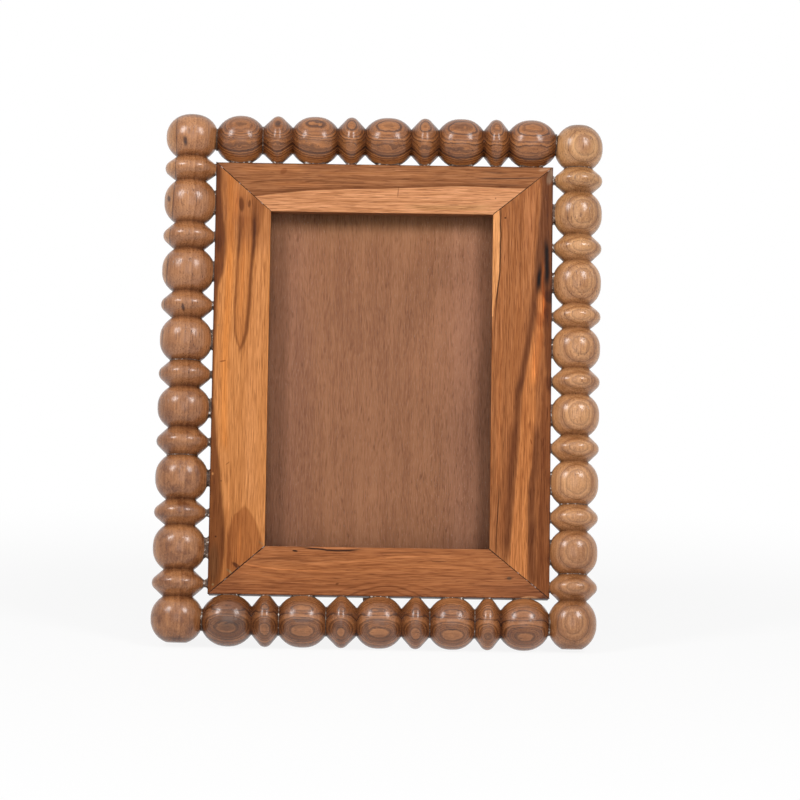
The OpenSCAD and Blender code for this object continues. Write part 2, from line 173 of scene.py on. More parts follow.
class Graph:
    """Builds the nodes of a material, of the world or of a modifier."""

    def __init__(self, tree):
        self.tree = tree
        tree.nodes.clear()
        self.point = None

    def add(self, kind, inputs=(), **settings):
        node = self.tree.nodes.new(kind)
        for name, value in settings.items():
            setattr(node, name, value)
        for key, value in dict(inputs).items():
            self.feed(node.inputs[key], value)
        return node

    def feed(self, socket, value):
        if isinstance(value, bpy.types.NodeSocket):
            self.tree.links.new(value, socket)
        elif socket.type == "RGBA" and len(value) == 3:
            socket.default_value = (*value, 1)
        else:
            socket.default_value = value

    def math(self, operation, *values, clamp=False):
        node = self.add("ShaderNodeMath", enumerate(values), operation=operation, use_clamp=clamp)
        return node.outputs[0]

    def plus(self, a, b):
        return self.math("ADD", a, b)

    def times(self, a, b):
        return self.math("MULTIPLY", a, b)

    def minus(self, a, b):
        return self.math("SUBTRACT", a, b)

    def line(self, value, slope, offset):
        """value * slope + offset"""
        return self.math("MULTIPLY_ADD", value, slope, offset)

    def smooth(self, value, low, high):
        """0 below low, 1 above high, and a smooth rise between. low may be above high."""
        node = self.add("ShaderNodeMapRange", {"Value": value}, interpolation_type="SMOOTHSTEP")
        flip = not isinstance(low, bpy.types.NodeSocket) and low > high
        self.feed(node.inputs["From Min"], high if flip else low)
        self.feed(node.inputs["From Max"], low if flip else high)
        node.inputs["To Min"].default_value = 1 if flip else 0
        node.inputs["To Max"].default_value = 0 if flip else 1
        return node.outputs[0]

    def chance(self, value):
        """A random number, 0 to 1, for each whole number."""
        return self.add("ShaderNodeTexWhiteNoise", {"W": value}, noise_dimensions="1D").outputs[0]

    def vector(self, x, y, z):
        return self.add("ShaderNodeCombineXYZ", enumerate((x, y, z))).outputs[0]

    def noise(self, vector, scale=1.0, detail=2.0, roughness=0.5):
        inputs = {"Vector": vector, "Scale": scale, "Detail": detail, "Roughness": roughness}
        return self.add("ShaderNodeTexNoise", inputs, noise_dimensions="3D").outputs[0]

    def cloud(self, scale, detail, roughness=0.5):
        """Noise that looks the same along and across the wood."""
        return self.noise(self.vector(*self.plane_point()), scale, detail, roughness)

    def noise_1d(self, value, scale=1.0, detail=2.0, roughness=0.5):
        inputs = {"W": value, "Scale": scale, "Detail": detail, "Roughness": roughness}
        return self.add("ShaderNodeTexNoise", inputs, noise_dimensions="1D").outputs[0]

    def mix(self, factor, a, b, blend="MIX"):
        node = self.add("ShaderNodeMix", data_type="RGBA", blend_type=blend)
        self.feed(node.inputs[0], factor)
        self.feed(node.inputs[6], a)
        self.feed(node.inputs[7], b)
        return node.outputs[2]

    def tint(self, colour, mask, tone, strength=1.0):
        """Multiplies the colour by tone where the mask is 1, and by less if strength is below 1."""
        if strength != 1.0:
            mask = self.times(mask, strength)
        return self.mix(mask, colour, tone, blend="MULTIPLY")

    def tints(self, colour, *marks):
        """Tints the colour by one (mask, tone) or (mask, tone, strength) after the other."""
        for mark in marks:
            colour = self.tint(colour, *mark)
        return colour

    def ramp(self, factor, stops):
        """The colour for each value, between the (place, colour) stops."""
        node = self.add("ShaderNodeValToRGB", {"Fac": factor})
        elements = node.color_ramp.elements
        while len(elements) < len(stops):
            elements.new(0.5)
        for element, (place, colour) in zip(elements, stops):
            element.position = place
            element.color = (*colour, 1)
        return node.outputs[0]

    def plane_point(self):
        """x, y and z in the frame's plane, in millimetres."""
        if self.point is None:
            coordinates = self.add("ShaderNodeTexCoord").outputs["Object"]
            place = -(Matrix.Rotation(LEAN, 3, "X") @ SHIFT)
            mapped = self.add("ShaderNodeMapping", {
                "Vector": coordinates, "Location": place, "Rotation": (LEAN, 0, 0),
                "Scale": (1 / MM, 1 / MM, 1 / MM)}, vector_type="POINT").outputs[0]
            split = self.add("ShaderNodeSeparateXYZ", {0: mapped})
            self.point = tuple(split.outputs)
        return self.point

    def curve(self, along, points):
        """Across as a smooth function of along, through the (along, across) points."""
        points = sorted(points)
        start, end = points[0][0], points[-1][0]
        low = min(across for _, across in points)
        reach = max(max(across for _, across in points) - low, 0.001)
        node = self.add("ShaderNodeFloatCurve", {
            "Value": self.math("DIVIDE", self.minus(along, start), end - start, clamp=True)})
        curve = node.mapping.curves[0]
        while len(curve.points) < len(points):
            curve.points.new(0.5, 0.5)
        for knot, (place, across) in zip(curve.points, points):
            knot.location = ((place - start) / (end - start), (across - low) / reach)
        node.mapping.update()
        return self.line(node.outputs[0], reach, low)

    def between(self, value, low, high, soft):
        """1 where value lies between low and high, with soft edges."""
        inside = self.smooth(self.minus(value, low), -soft, soft)
        return self.times(inside, self.smooth(self.minus(high, value), -soft, soft))

    def stroke(self, along, across, points, width, soft):
        """A streak of the given half width along a curve, faint towards its ends."""
        ends = sorted(place for place, _ in points)
        off = self.math("ABSOLUTE", self.minus(across, self.curve(along, points)))
        body = self.smooth(off, width + soft * width, width - soft * width)
        return self.times(body, self.between(along, ends[0], ends[-1], STREAK_END))

    def spot(self, x, z, centre, radii, turn, soft):
        """An oval patch, turned by so many degrees from upright."""
        cosine, sine = math.cos(math.radians(turn)), math.sin(math.radians(turn))
        u, v = self.minus(x, centre[0]), self.minus(z, centre[1])
        a = self.plus(self.times(u, cosine / radii[0]), self.times(v, sine / radii[0]))
        b = self.minus(self.times(v, cosine / radii[1]), self.times(u, sine / radii[1]))
        away = self.math("SQRT", self.plus(self.times(a, a), self.times(b, b)))
        return self.smooth(away, 1 + soft, 1 - soft)

    def finish(self, colour, roughness, height, bump, **sockets):
        """The shader and the output. bump is in millimetres, and sockets are set on the shader itself."""
        shader = self.add("ShaderNodeBsdfPrincipled", {"Base Color": colour, "Roughness": roughness})
        for name, value in sockets.items():
            shader.inputs[name.replace("_", " ").title().replace("Ior", "IOR")].default_value = value
        relief = self.add("ShaderNodeBump", {"Height": height, "Strength": 1.0, "Distance": bump * MM})
        self.feed(shader.inputs["Normal"], relief.outputs[0])
        self.add("ShaderNodeOutputMaterial", {"Surface": shader.outputs[0]})


def new_material(name):
    """An empty material, and the graph that builds it."""
    material = bpy.data.materials.new(name)
    material.use_nodes = True
    return material, Graph(material.node_tree)


def dress(node_name, material):
    """Gives a CAD node its material."""
    piece = NODES[node_name]
    for slot in piece.material_slots:
        slot.material = material


def soft_shading_group():
    """A modifier that welds a CAD mesh and shades it smooth, except at its sharp edges."""
    group = bpy.data.node_groups.get("Soft shading")
    if group:
        return group
    group = bpy.data.node_groups.new("Soft shading", "GeometryNodeTree")
    for way in ("INPUT", "OUTPUT"):
        group.interface.new_socket("Geometry", in_out=way, socket_type="NodeSocketGeometry")
    graph = Graph(group)
    angle = graph.add("GeometryNodeInputMeshEdgeAngle").outputs["Unsigned Angle"]
    gentle = graph.add("FunctionNodeCompare", {0: angle, 1: SHARP_ANGLE}, operation="LESS_THAN").outputs[0]
    shape = graph.add("NodeGroupInput").outputs[0]
    for kind, inputs, settings in (
            ("GeometryNodeRemoveAttribute", {"Name": "custom_normal"}, {}),
            ("GeometryNodeMergeByDistance", {"Distance": WELD * MM}, {}),
            ("GeometryNodeSetShadeSmooth", {}, {"domain": "FACE"}),
            ("GeometryNodeSetShadeSmooth", {"Shade Smooth": gentle}, {"domain": "EDGE"})):
        shape = graph.add(kind, {"Geometry": shape, **inputs}, **settings).outputs[0]
    graph.add("NodeGroupOutput", {0: shape})
    return group


def soften(piece, arris=0.0):
    """Smooth shading on a CAD node, and its edges eased by arris millimetres."""
    if arris:
        weld = piece.modifiers.new("Weld", "WELD")
        weld.merge_threshold = WELD * MM
        bevel = piece.modifiers.new("Eased edges", "BEVEL")
        bevel.width = arris * MM
        bevel.segments = 2
        bevel.limit_method = "ANGLE"
        bevel.angle_limit = EASED_ANGLE
        bevel.use_clamp_overlap = False
        bevel.harden_normals = False
    shading = piece.modifiers.new("Soft shading", "NODES")
    shading.node_group = soft_shading_group()


def new_piece(name, mesh, material):
    """A new mesh piece on the frame body. Its vertices are where it stands."""
    mesh.materials.append(material)
    for polygon in mesh.polygons:
        polygon.use_smooth = True
    piece = bpy.data.objects.new(name, mesh)
    bpy.context.scene.collection.objects.link(piece)
    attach(piece, "frame")
    return piece


# Woods.


def streaks(graph, along, across, depth, seed):
    """Four layers of streaks along the grain, each about 0 to 1, from broad to hair-fine."""
    bend = graph.noise(graph.vector(graph.times(along, 0.012), graph.times(across, 0.02), seed), detail=1)
    across = graph.plus(across, graph.line(bend, 3.0, -1.5))
    layers = []
    for cross, length, detail in ((0.11, 0.009, 2), (0.4, 0.014, 3), (1.7, 0.034, 3), (3.2, 0.11, 2)):
        vector = graph.vector(graph.times(across, cross), graph.times(depth, cross * 0.6),
                              graph.line(along, length, seed * 1.7))
        layers.append(graph.noise(vector, detail=detail, roughness=0.6))
    return layers


def pores(graph, along, across, depth, seed, cross=3.2, length=0.16, few=0.62):
    """Short dark dashes along the grain, as a mask."""
    vector = graph.vector(graph.times(across, cross), graph.times(depth, cross),
                          graph.line(along, length, seed))
    return graph.smooth(graph.noise(vector, detail=2, roughness=0.5), few, few + 0.1)


def wood_tone(graph, layers, shares, low, high):
    """The layers added up by their shares and stretched to 0 to 1."""
    total = 0.0
    for layer, share in zip(layers, shares):
        total = graph.plus(graph.times(layer, share), total)
    return graph.smooth(total, low, high)


def wood_colours(graph, tone, colour, dark=(0.6, 0.5, 0.42), light=(1.36, 1.52, 1.8)):
    """Dark, middle and light of one wood."""
    low = tuple(value * share for value, share in zip(colour, dark))
    high = tuple(value * share for value, share in zip(colour, light))
    return graph.ramp(tone, ((0.0, low), (0.5, colour), (1.0, high)))


def rail_edges_and_shade(graph, x, y, z):
    """Where a rail's outer edges get a ragged dark line, and where its sides and the reveal round the
    opening get painted shade, as two masks.
    """
    wide = graph.math("MINIMUM", graph.minus(x, RAIL_LEFT), graph.minus(RAIL_RIGHT, x))
    high = graph.math("MINIMUM", graph.minus(z, RAIL_BOTTOM), graph.minus(RAIL_TOP, z))
    room = graph.math("MINIMUM", wide, high)
    # A ragged dark line along the outer edges.
    edge_ragging = graph.cloud(0.35, 3, 0.6)
    edge = graph.smooth(graph.minus(room, graph.line(edge_ragging, 1.6, -0.5)), 0.35, -0.1)
    # Painted shade: the sides and the reveal round the opening are darkened as if in shadow, most on the
    # reveal; on the outer sides it also stands for dark glue.
    side = graph.times(graph.between(y, FRONT + 0.35, BACK - 0.3, 0.2),
                       graph.line(graph.smooth(room, 1.0, 0.3), -0.25, 0.9))
    return edge, side


def rail_wood(name, colour, upright, seed, paint, sheen, grain):
    """Streaky lacquered hardwood. paint adds a rail's figure, and grain is how strong its fine grain is."""
    material, graph = new_material(name)
    x, y, z = graph.plane_point()
    along, across = (z, x) if upright else (x, z)
    layers = streaks(graph, along, across, y, seed)
    middle, spread = 0.975, 0.34 / grain
    tone = wood_tone(graph, layers, (0.3, 0.3, 0.75, 0.6), middle - spread, middle + spread)
    shade = paint(graph, wood_colours(graph, tone, colour), x, z, seed)
    dark_hairs = graph.smooth(layers[3], 0.52, 0.36)
    pale_hairs = graph.smooth(layers[3], 0.53, 0.68)
    dashes = pores(graph, along, across, y, seed, 2.4, 0.14, 0.58)
    edge, side = rail_edges_and_shade(graph, x, y, z)
    # Last come the ragged dark line along the outer edges, and the painted shade on the sides and the
    # reveal.
    shade = graph.tints(
        shade, (dark_hairs, (0.58, 0.48, 0.4), 0.42 * grain), (pale_hairs, (1.22, 1.28, 1.4), 0.5 * grain),
        (dashes, (0.46, 0.36, 0.3), 0.75 * grain), (edge, (0.4, 0.34, 0.32), 0.75),
        (side, (0.34, 0.28, 0.26)))
    height = graph.minus(graph.times(layers[3], 0.5), dashes)
    graph.finish(shade, graph.line(layers[1], 0.2, sheen - 0.1), height, 0.05, specular_ior_level=0.12)
    return material


def wobbled(graph, along, across, amount, reach, seed):
    """across, bent a little to and fro along the grain."""
    bend = graph.noise_1d(graph.plus(along, seed), scale=reach, detail=3)
    return graph.plus(across, graph.line(bend, amount * 2, -amount))


def deeper(tone):
    """The tone with more contrast."""
    return tuple(value ** 1.3 for value in tone)


def draw_streaks(graph, shade, along, across, marks):
    """Draws a rail's own streaks.

    Each has its (along, across) points, half width, softness, strength and tone.
    """
    for points, width, soft, strength, tone in marks:
        mark = graph.stroke(along, across, points, width, soft)
        shade = graph.tint(shade, mark, deeper(tone), strength)
    return shade


def draw_areas(graph, shade, along, across, areas):
    """Draws what lies between two curves: both curves, softness, strength and tone of each."""
    for low, high, soft, strength, tone in areas:
        inside = graph.between(across, graph.curve(along, low), graph.curve(along, high), soft)
        start = max(min(low)[0], min(high)[0])
        end = min(max(low)[0], max(high)[0])
        inside = graph.times(inside, graph.between(along, start, end, 2 * soft))
        shade = graph.tint(shade, inside, deeper(tone), strength)
    return shade


def draw_spots(graph, shade, x, z, spots):
    """Draws knots and marks: the middle, radii, turn in degrees, strength and tone of each."""
    for centre, radii, turn, strength, tone in spots:
        shade = graph.tint(shade, graph.spot(x, z, centre, radii, turn, 0.35), tone, strength)
    return shade


LEFT_AREAS = (
    (((100, -75), (-14, -75)),
     ((100, -69.8), (80, -69.3), (70, -68.5), (60, -67.5), (50, -67.6), (42, -69.2), (35, -70.3),
      (10, -71), (-14, -71)),
     0.9, 1, (0.42, 0.34, 0.29)),
    (((-12, -75), (-100, -75)),
     ((-12, -70.9), (-22, -69.6), (-30, -69), (-40, -67.6), (-50, -66.8), (-60, -65.7), (-72, -65),
      (-80, -65.8), (-100, -68.6)),
     0.9, 0.95, (0.42, 0.34, 0.28)),
    (((100, -75), (56, -75)), ((100, -45), (56, -45)), 3, 0.9, (0.8, 0.77, 0.8)),
    (((85, -57), (70, -56.4), (61, -55.6)), ((85, -50.2), (70, -51.4), (61, -53.6)), 1.1, 0.8,
     (0.64, 0.56, 0.5)),
    (((70, -61.4), (45, -62.2), (30, -62.8), (17, -61.6), (12, -60.4)),
     ((70, -55.6), (45, -56.2), (30, -56.9), (17, -58.4), (12, -59.6)), 0.6, 0.5, (0.82, 0.72, 0.6)),
    (((-55.5, -57.6), (-58, -59.6), (-60, -61.8), (-65, -63.1), (-70, -63.6), (-90, -64.2)),
     ((-55.5, -56.4), (-58, -54.5), (-62, -52.2), (-67, -50.2), (-90, -44)), 0.7, 0.8, (0.68, 0.57, 0.48)),
)
LEFT_STREAKS = (
    (((92, -66), (70, -65.2), (40, -65.6), (0, -66.6), (-30, -65.5)), 1.5, 0.9, 0.7, (1.1, 0.98, 0.72)),
    (((72, -61.2), (64, -61.3), (52, -61.9)), 0.7, 0.9, 0.6, (0.5, 0.42, 0.34)),
    (((63, -61.6), (50, -62), (40, -62.4), (30, -62.8), (22, -62.6), (17, -61.8), (13, -60.3)), 0.5, 0.9,
     0.75, (0.5, 0.4, 0.32)),
    (((76, -55), (66, -55), (52, -55.6)), 0.9, 0.9, 0.55, (0.56, 0.48, 0.4)),
    (((70, -55), (60, -55.2), (50, -55.8), (40, -56.3), (30, -56.8), (22, -57.4), (17, -58.3), (12, -59.9)),
     0.75, 0.8, 0.9, (0.42, 0.33, 0.26)),
    (((67, -53.4), (55, -53.8), (44, -54.3)), 0.4, 0.9, 0.4, (0.6, 0.5, 0.4)),
    (((60, -59.4), (45, -59.6), (28, -60.4)), 0.7, 0.9, 0.5, (1.24, 1.2, 1.1)),
    (((60, -52), (40, -52.6), (10, -54), (-30, -55), (-54, -54)), 2.8, 0.8, 0.6, (1.1, 1.14, 1.26)),
    (((86, -68), (78, -67.6), (70, -67.2)), 0.5, 0.9, 0.5, (0.6, 0.5, 0.42)),
    (((83, -62.6), (76, -62.8), (70, -62.8)), 0.7, 0.9, 0.55, (1.3, 1.2, 1)),
    (((-44, -64.2), (-52, -63.8), (-60, -64)), 0.5, 0.9, 0.5, (1.2, 1.2, 1.2)),
    (((-66, -63.2), (-72, -63.2), (-84, -63.6)), 0.9, 0.9, 0.7, (0.62, 0.52, 0.44)),
    (((-66, -58.6), (-74, -58.9), (-80, -59.2)), 0.6, 0.9, 0.45, (1.3, 1.25, 1.15)),
    (((-56, -64.6), (-70, -64.6), (-90, -66)), 1.6, 0.9, 0.7, (0.78, 0.7, 0.62)),
)
LEFT_SPOTS = (
    ((-59.9, -81), (0.8, 2.2), 52, 0.85, (0.26, 0.2, 0.2)),
    ((-62.9, -83.4), (0.5, 1.5), 52, 0.9, (0.9, 1.5, 2.4)),
    ((-49.6, -71.2), (0.5, 1.3), 52, 0.8, (0.9, 1.2, 1.7)),
    ((-69.8, -89.2), (0.5, 0.5), 0, 0.9, (1.2, 2.2, 3.6)),
    ((-60.4, 73), (3.4, 9), 4, 0.55, (0.7, 0.58, 0.5)),
    ((-60.8, 65), (1.5, 5.5), 3, 0.4, (0.56, 0.46, 0.38)),
    ((-60.8, 75.3), (1.1, 3.2), 4, 0.9, (0.34, 0.26, 0.22)),
    ((-57.4, 75.6), (0.6, 1.7), -6, 0.85, (0.38, 0.3, 0.25)),
    ((-70.2, 58), (1.2, 4), 0, 0.5, (0.5, 0.42, 0.4)),
    ((-70.4, 47), (1, 2.6), 0, 0.4, (0.5, 0.42, 0.4)),
    ((-67.5, 6.9), (1.3, 0.35), 12, 0.8, (0.4, 0.3, 0.26)),
    ((-69.7, 22.4), (0.35, 0.4), 0, 0.7, (0.6, 0.8, 1.1)),
    ((-69, -68.7), (0.4, 0.4), 0, 0.9, (0.2, 0.16, 0.15)),
    ((-67.1, -44.8), (0.35, 0.3), 0, 0.8, (0.3, 0.25, 0.2)),
    ((-64.5, -37.2), (1, 0.22), 40, 0.7, (0.4, 0.32, 0.28)),
    ((-70.8, -41.8), (0.4, 0.6), 0, 1, (2.6, 3.6, 5)),
    ((-69.6, -80), (2.2, 8), 0, 0.7, (0.62, 0.72, 0.9)),
)


def paint_left(graph, shade, x, z, seed):
    """The left rail: dark outer edge, two knots, and two tongues of darker heartwood."""
    w = wobbled(graph, z, x, 0.35, 0.09, seed)
    shade = draw_areas(graph, shade, z, w, LEFT_AREAS)
    shade = draw_streaks(graph, shade, z, w, LEFT_STREAKS)
    return draw_spots(graph, shade, x, z, LEFT_SPOTS)


SAPWOOD_EDGE = (
    (-60, 78.2), (-55, 78.9), (-50, 79.6), (-40, 80.8), (-30, 81.9), (-20, 82.5), (0, 83.1),
    (10, 83.5), (20, 84.1), (30, 84.5), (40, 84.5), (50, 84.2), (62, 84.2))
TOP_STREAKS = (
    (((-60, 81.3), (-50, 81), (-38, 82)), 0.5, 0.9, 0.5, (0.6, 0.5, 0.42)),
    (((-57, 84.6), (-45, 86.2), (-35, 86.5), (-22, 85.8), (-8, 85.2)), 0.35, 0.9, 0.65, (0.5, 0.4, 0.32)),
    (((-62, 90.8), (-48, 91.2), (-34, 90.6)), 0.9, 0.9, 0.5, (1.3, 1.26, 1.15)),
    (((-46, 84.4), (-36, 84.6), (-28, 84)), 0.7, 0.9, 0.45, (1.28, 1.22, 1.1)),
    (((-34, 92.4), (-22, 91.8), (-8, 92.2)), 1.2, 0.9, 0.45, (0.66, 0.56, 0.48)),
    (((-27, 88.4), (-10, 87.4), (8, 87.5), (24, 86.9), (40, 87.4)), 0.5, 0.9, 0.55, (0.6, 0.5, 0.42)),
    (((-26, 90), (-14, 89.4), (0, 89.6), (20, 89.2)), 0.6, 0.9, 0.5, (1.25, 1.25, 1.2)),
    (((42, 88.1), (55, 88.4), (67, 88.9)), 0.33, 0.8, 0.85, (0.36, 0.36, 0.46)),
    (((44, 91.2), (50, 90.7), (54, 90.6)), 0.3, 0.8, 0.7, (0.4, 0.4, 0.46)),
    (((38, 85.8), (50, 85.6), (60, 85.4)), 0.35, 0.9, 0.6, (0.5, 0.45, 0.45)),
    (((20, 91.6), (32, 91), (44, 92)), 0.5, 0.9, 0.4, (1.2, 1.25, 1.3)),
    (((-50, 77.9), (-47.2, 78)), 0.3, 0.8, 0.8, (0.45, 0.36, 0.28)),
    (((-36, 76.6), (-20, 77), (-4, 78)), 0.3, 0.9, 0.6, (0.66, 0.56, 0.46)),
    (((-2, 77.7), (14, 77.4), (30, 78.2), (42, 78.6)), 0.3, 0.9, 0.55, (0.66, 0.58, 0.5)),
    (((-28, 80.2), (-14, 80.6), (2, 80.8)), 0.3, 0.9, 0.4, (0.72, 0.62, 0.5)),
    (((10, 80.6), (26, 81), (40, 80.4)), 0.35, 0.9, 0.4, (0.75, 0.66, 0.56)),
    (((12, 75.4), (28, 75.4), (46, 76)), 0.9, 0.9, 0.6, (0.86, 0.95, 0.9)),
    (((18, 74.2), (34, 74.6), (48, 74.4)), 0.35, 0.9, 0.6, (0.7, 0.66, 0.5)),
)
TOP_SPOTS = (
    ((-42.8, 90.2), (1.6, 1.1), 40, 0.6, (0.6, 0.45, 0.36)),
    ((6.8, 81.6), (0.18, 2.2), -4, 0.8, (0.4, 0.3, 0.26)),
    ((8, 91.3), (2.6, 0.25), 0, 0.9, (1.4, 1.5, 1.7)),
    ((70, 92.8), (2.4, 0.9), 20, 0.7, (1.5, 2, 2.8)),
    ((49, 79.6), (0.3, 0.4), 0, 0.7, (0.4, 0.32, 0.28)),
)


def paint_top(graph, shade, x, z, seed):
    """The top rail: brown above, a band of light sapwood below, and a dark line between them."""
    w = wobbled(graph, x, z, 0.25, 0.07, seed)
    above = graph.minus(w, graph.curve(x, SAPWOOD_EDGE))
    seam = graph.times(graph.smooth(above, -0.1, 0.25), graph.smooth(above, 2.2, 0.3))
    shade = graph.tints(
        shade, (graph.smooth(above, 0.22, -0.22), (1.78, 2.02, 2.35)), (seam, (0.56, 0.47, 0.4), 0.85),
        (graph.smooth(x, -58, -70), (0.7, 0.68, 0.72), 0.7))
    shade = draw_streaks(graph, shade, x, w, TOP_STREAKS)
    return draw_spots(graph, shade, x, z, TOP_SPOTS)


RIGHT_AREAS = (
    (((80, 46), (28, 46)),
     ((80, 50.2), (74, 50.5), (70, 51), (60, 51.1), (50, 50.9), (40, 50.1), (35, 49.3), (28, 48.4)), 0.14,
     0.95, (1.72, 2, 2.2)),
    (((95, 69), (80, 68.6), (70, 68), (58, 66.8), (50, 66.2), (42, 68), (34, 72)), ((95, 76), (34, 76)),
     0.9, 0.9, (0.44, 0.39, 0.4)),
    (((40, 70.8), (30, 70), (20, 70.6), (8, 71.4), (-4, 72)), ((40, 75), (-4, 75)), 0.8, 0.9,
     (0.5, 0.42, 0.36)),
    (((2, 70.6), (-30, 69.4), (-60, 68.9), (-95, 68.4)), ((2, 76), (-95, 76)), 0.8, 0.85,
     (0.66, 0.58, 0.52)),
    (((22, 65.6), (12, 64.2), (4, 62.9), (-5, 61.6), (-15, 60.9), (-25, 60.5), (-35, 59.8), (-45, 59),
      (-55, 58.3), (-65, 57.4), (-90, 56.2)),
     ((22, 66), (12, 66.6), (4, 66.9), (-10, 67.2), (-20, 66.8), (-30, 66.2), (-38, 65.6), (-45, 64.6),
      (-55, 64.1), (-65, 64.3), (-90, 64.3)),
     0.45, 0.9, (1.4, 1.42, 1.34)),
)
RIGHT_STREAKS = (
    (((76, 50.6), (72, 51.3), (60, 51.4), (50, 51.2), (40, 50.4), (33, 49.8)), 0.28, 0.8, 0.95,
     (0.22, 0.18, 0.18)),
    (((34, 49.8), (25, 49.2), (12, 48.8)), 0.3, 0.8, 0.5, (0.5, 0.42, 0.38)),
    (((76, 55), (62, 54.9), (48, 55.1)), 0.4, 0.9, 0.6, (0.6, 0.5, 0.44)),
    (((78, 58), (60, 57.6), (40, 57)), 0.5, 0.9, 0.35, (0.72, 0.62, 0.54)),
    (((84, 65), (72, 64.2), (56, 63.6)), 1.8, 0.9, 0.5, (1.24, 1.28, 1.4)),
    (((72, 53), (60, 53.2), (46, 53)), 0.8, 0.9, 0.5, (1.22, 1.24, 1.3)),
    (((84, 61), (74, 60.6), (60, 60.2)), 0.4, 0.9, 0.5, (0.64, 0.54, 0.48)),
    (((80, 67), (70, 66.6), (60, 66)), 0.35, 0.9, 0.5, (0.6, 0.5, 0.44)),
    (((50, 52.4), (30, 52), (5, 52.2)), 0.6, 0.9, 0.4, (1.2, 1.2, 1.2)),
    (((40, 60), (20, 59), (0, 57), (-20, 55.4)), 1.6, 0.9, 0.4, (1.12, 1.12, 1.1)),
    (((46, 66.9), (41, 66.8), (35, 66), (28, 65.3), (20, 64.3), (12, 63), (4, 61.6), (-4, 60.4)), 1.3,
     0.8, 0.85, (0.46, 0.38, 0.34)),
    (((0, 60.4), (-5, 59.8), (-25, 58.4), (-45, 56.9), (-60, 56.2), (-74, 55.4)), 1.3, 0.9, 0.85,
     (0.52, 0.44, 0.38)),
    (((-20, 57.4), (-40, 55.4), (-58, 54.2), (-72, 53.4)), 1.4, 0.9, 0.6, (0.72, 0.64, 0.58)),
    (((61, 71.2), (54, 71.4), (48, 71.5), (42.4, 71.5)), 0.95, 0.7, 1, (0.1, 0.1, 0.14)),
    (((50, 68.6), (46, 68.2), (43, 68), (39.5, 67.8)), 0.85, 0.7, 1, (0.1, 0.1, 0.13)),
    (((52, 69.7), (46, 69.5), (41, 69.8), (36, 70.4), (29, 70.2)), 0.55, 0.8, 0.9, (1.6, 1.4, 1.1)),
    (((40, 69.4), (30, 69.2), (20, 68.3), (10, 67.3), (0, 66.5)), 1.5, 0.9, 0.75, (1.38, 1.28, 1.1)),
    (((36, 72), (30, 71.6), (24, 71.8)), 1, 0.9, 0.6, (0.55, 0.44, 0.36)),
    (((-20, 67.8), (-38, 67), (-46, 66), (-56, 65.8), (-66, 66), (-88, 66.4)), 1.6, 0.9, 0.85,
     (0.5, 0.42, 0.38)),
    (((-26, 70.8), (-45, 70), (-66, 69.8)), 1.6, 0.9, 0.4, (0.8, 0.74, 0.7)),
    (((2, 51.6), (-20, 51.6), (-46, 51.4)), 0.9, 0.9, 0.6, (1.26, 1.24, 1.2)),
    (((-46, 51.9), (-55, 51.5), (-62, 51.1), (-74, 50.8)), 0.28, 0.8, 0.9, (0.34, 0.27, 0.24)),
    (((-10, 63), (-30, 62.2), (-48, 61), (-78, 60.2)), 0.35, 0.9, 0.5, (0.76, 0.68, 0.6)),
    (((-50, 62.8), (-64, 62.6), (-80, 62.4)), 0.35, 0.9, 0.5, (1.25, 1.3, 1.3)),
)
RIGHT_SPOTS = (
    ((53.3, 71.1), (0.45, 0.45), 0, 0.95, (0.24, 0.2, 0.2)),
    ((65.4, -26), (0.3, 1.2), 18, 0.8, (0.5, 0.38, 0.3)),
    ((66.5, -65), (1.6, 5), 0, 0.5, (0.6, 0.52, 0.48)),
    ((72.6, 89.6), (1.3, 3.4), -14, 0.6, (2.2, 4.8, 10)),
    ((71.6, 30), (1.4, 2.2), 0, 0.4, (0.6, 0.45, 0.38)),
    ((68.6, 27), (1.7, 3.2), 10, 0.6, (0.6, 0.45, 0.36)),
    ((66.4, 31.5), (0.8, 3.4), 8, 0.6, (0.5, 0.4, 0.34)),
    ((69.4, 18), (1.2, 3.8), 4, 0.4, (0.7, 0.56, 0.46)),
    ((66.6, 8), (0.8, 4), 6, 0.4, (0.7, 0.56, 0.46)),
)


def paint_right(graph, shade, x, z, seed):
    """The right rail: a sliver of sapwood, black streaks and slanting dark and light bands."""
    w = wobbled(graph, z, x, 0.35, 0.1, seed)
    shade = draw_areas(graph, shade, z, w, RIGHT_AREAS)
    shade = draw_streaks(graph, shade, z, w, RIGHT_STREAKS)
    return draw_spots(graph, shade, x, z, RIGHT_SPOTS)


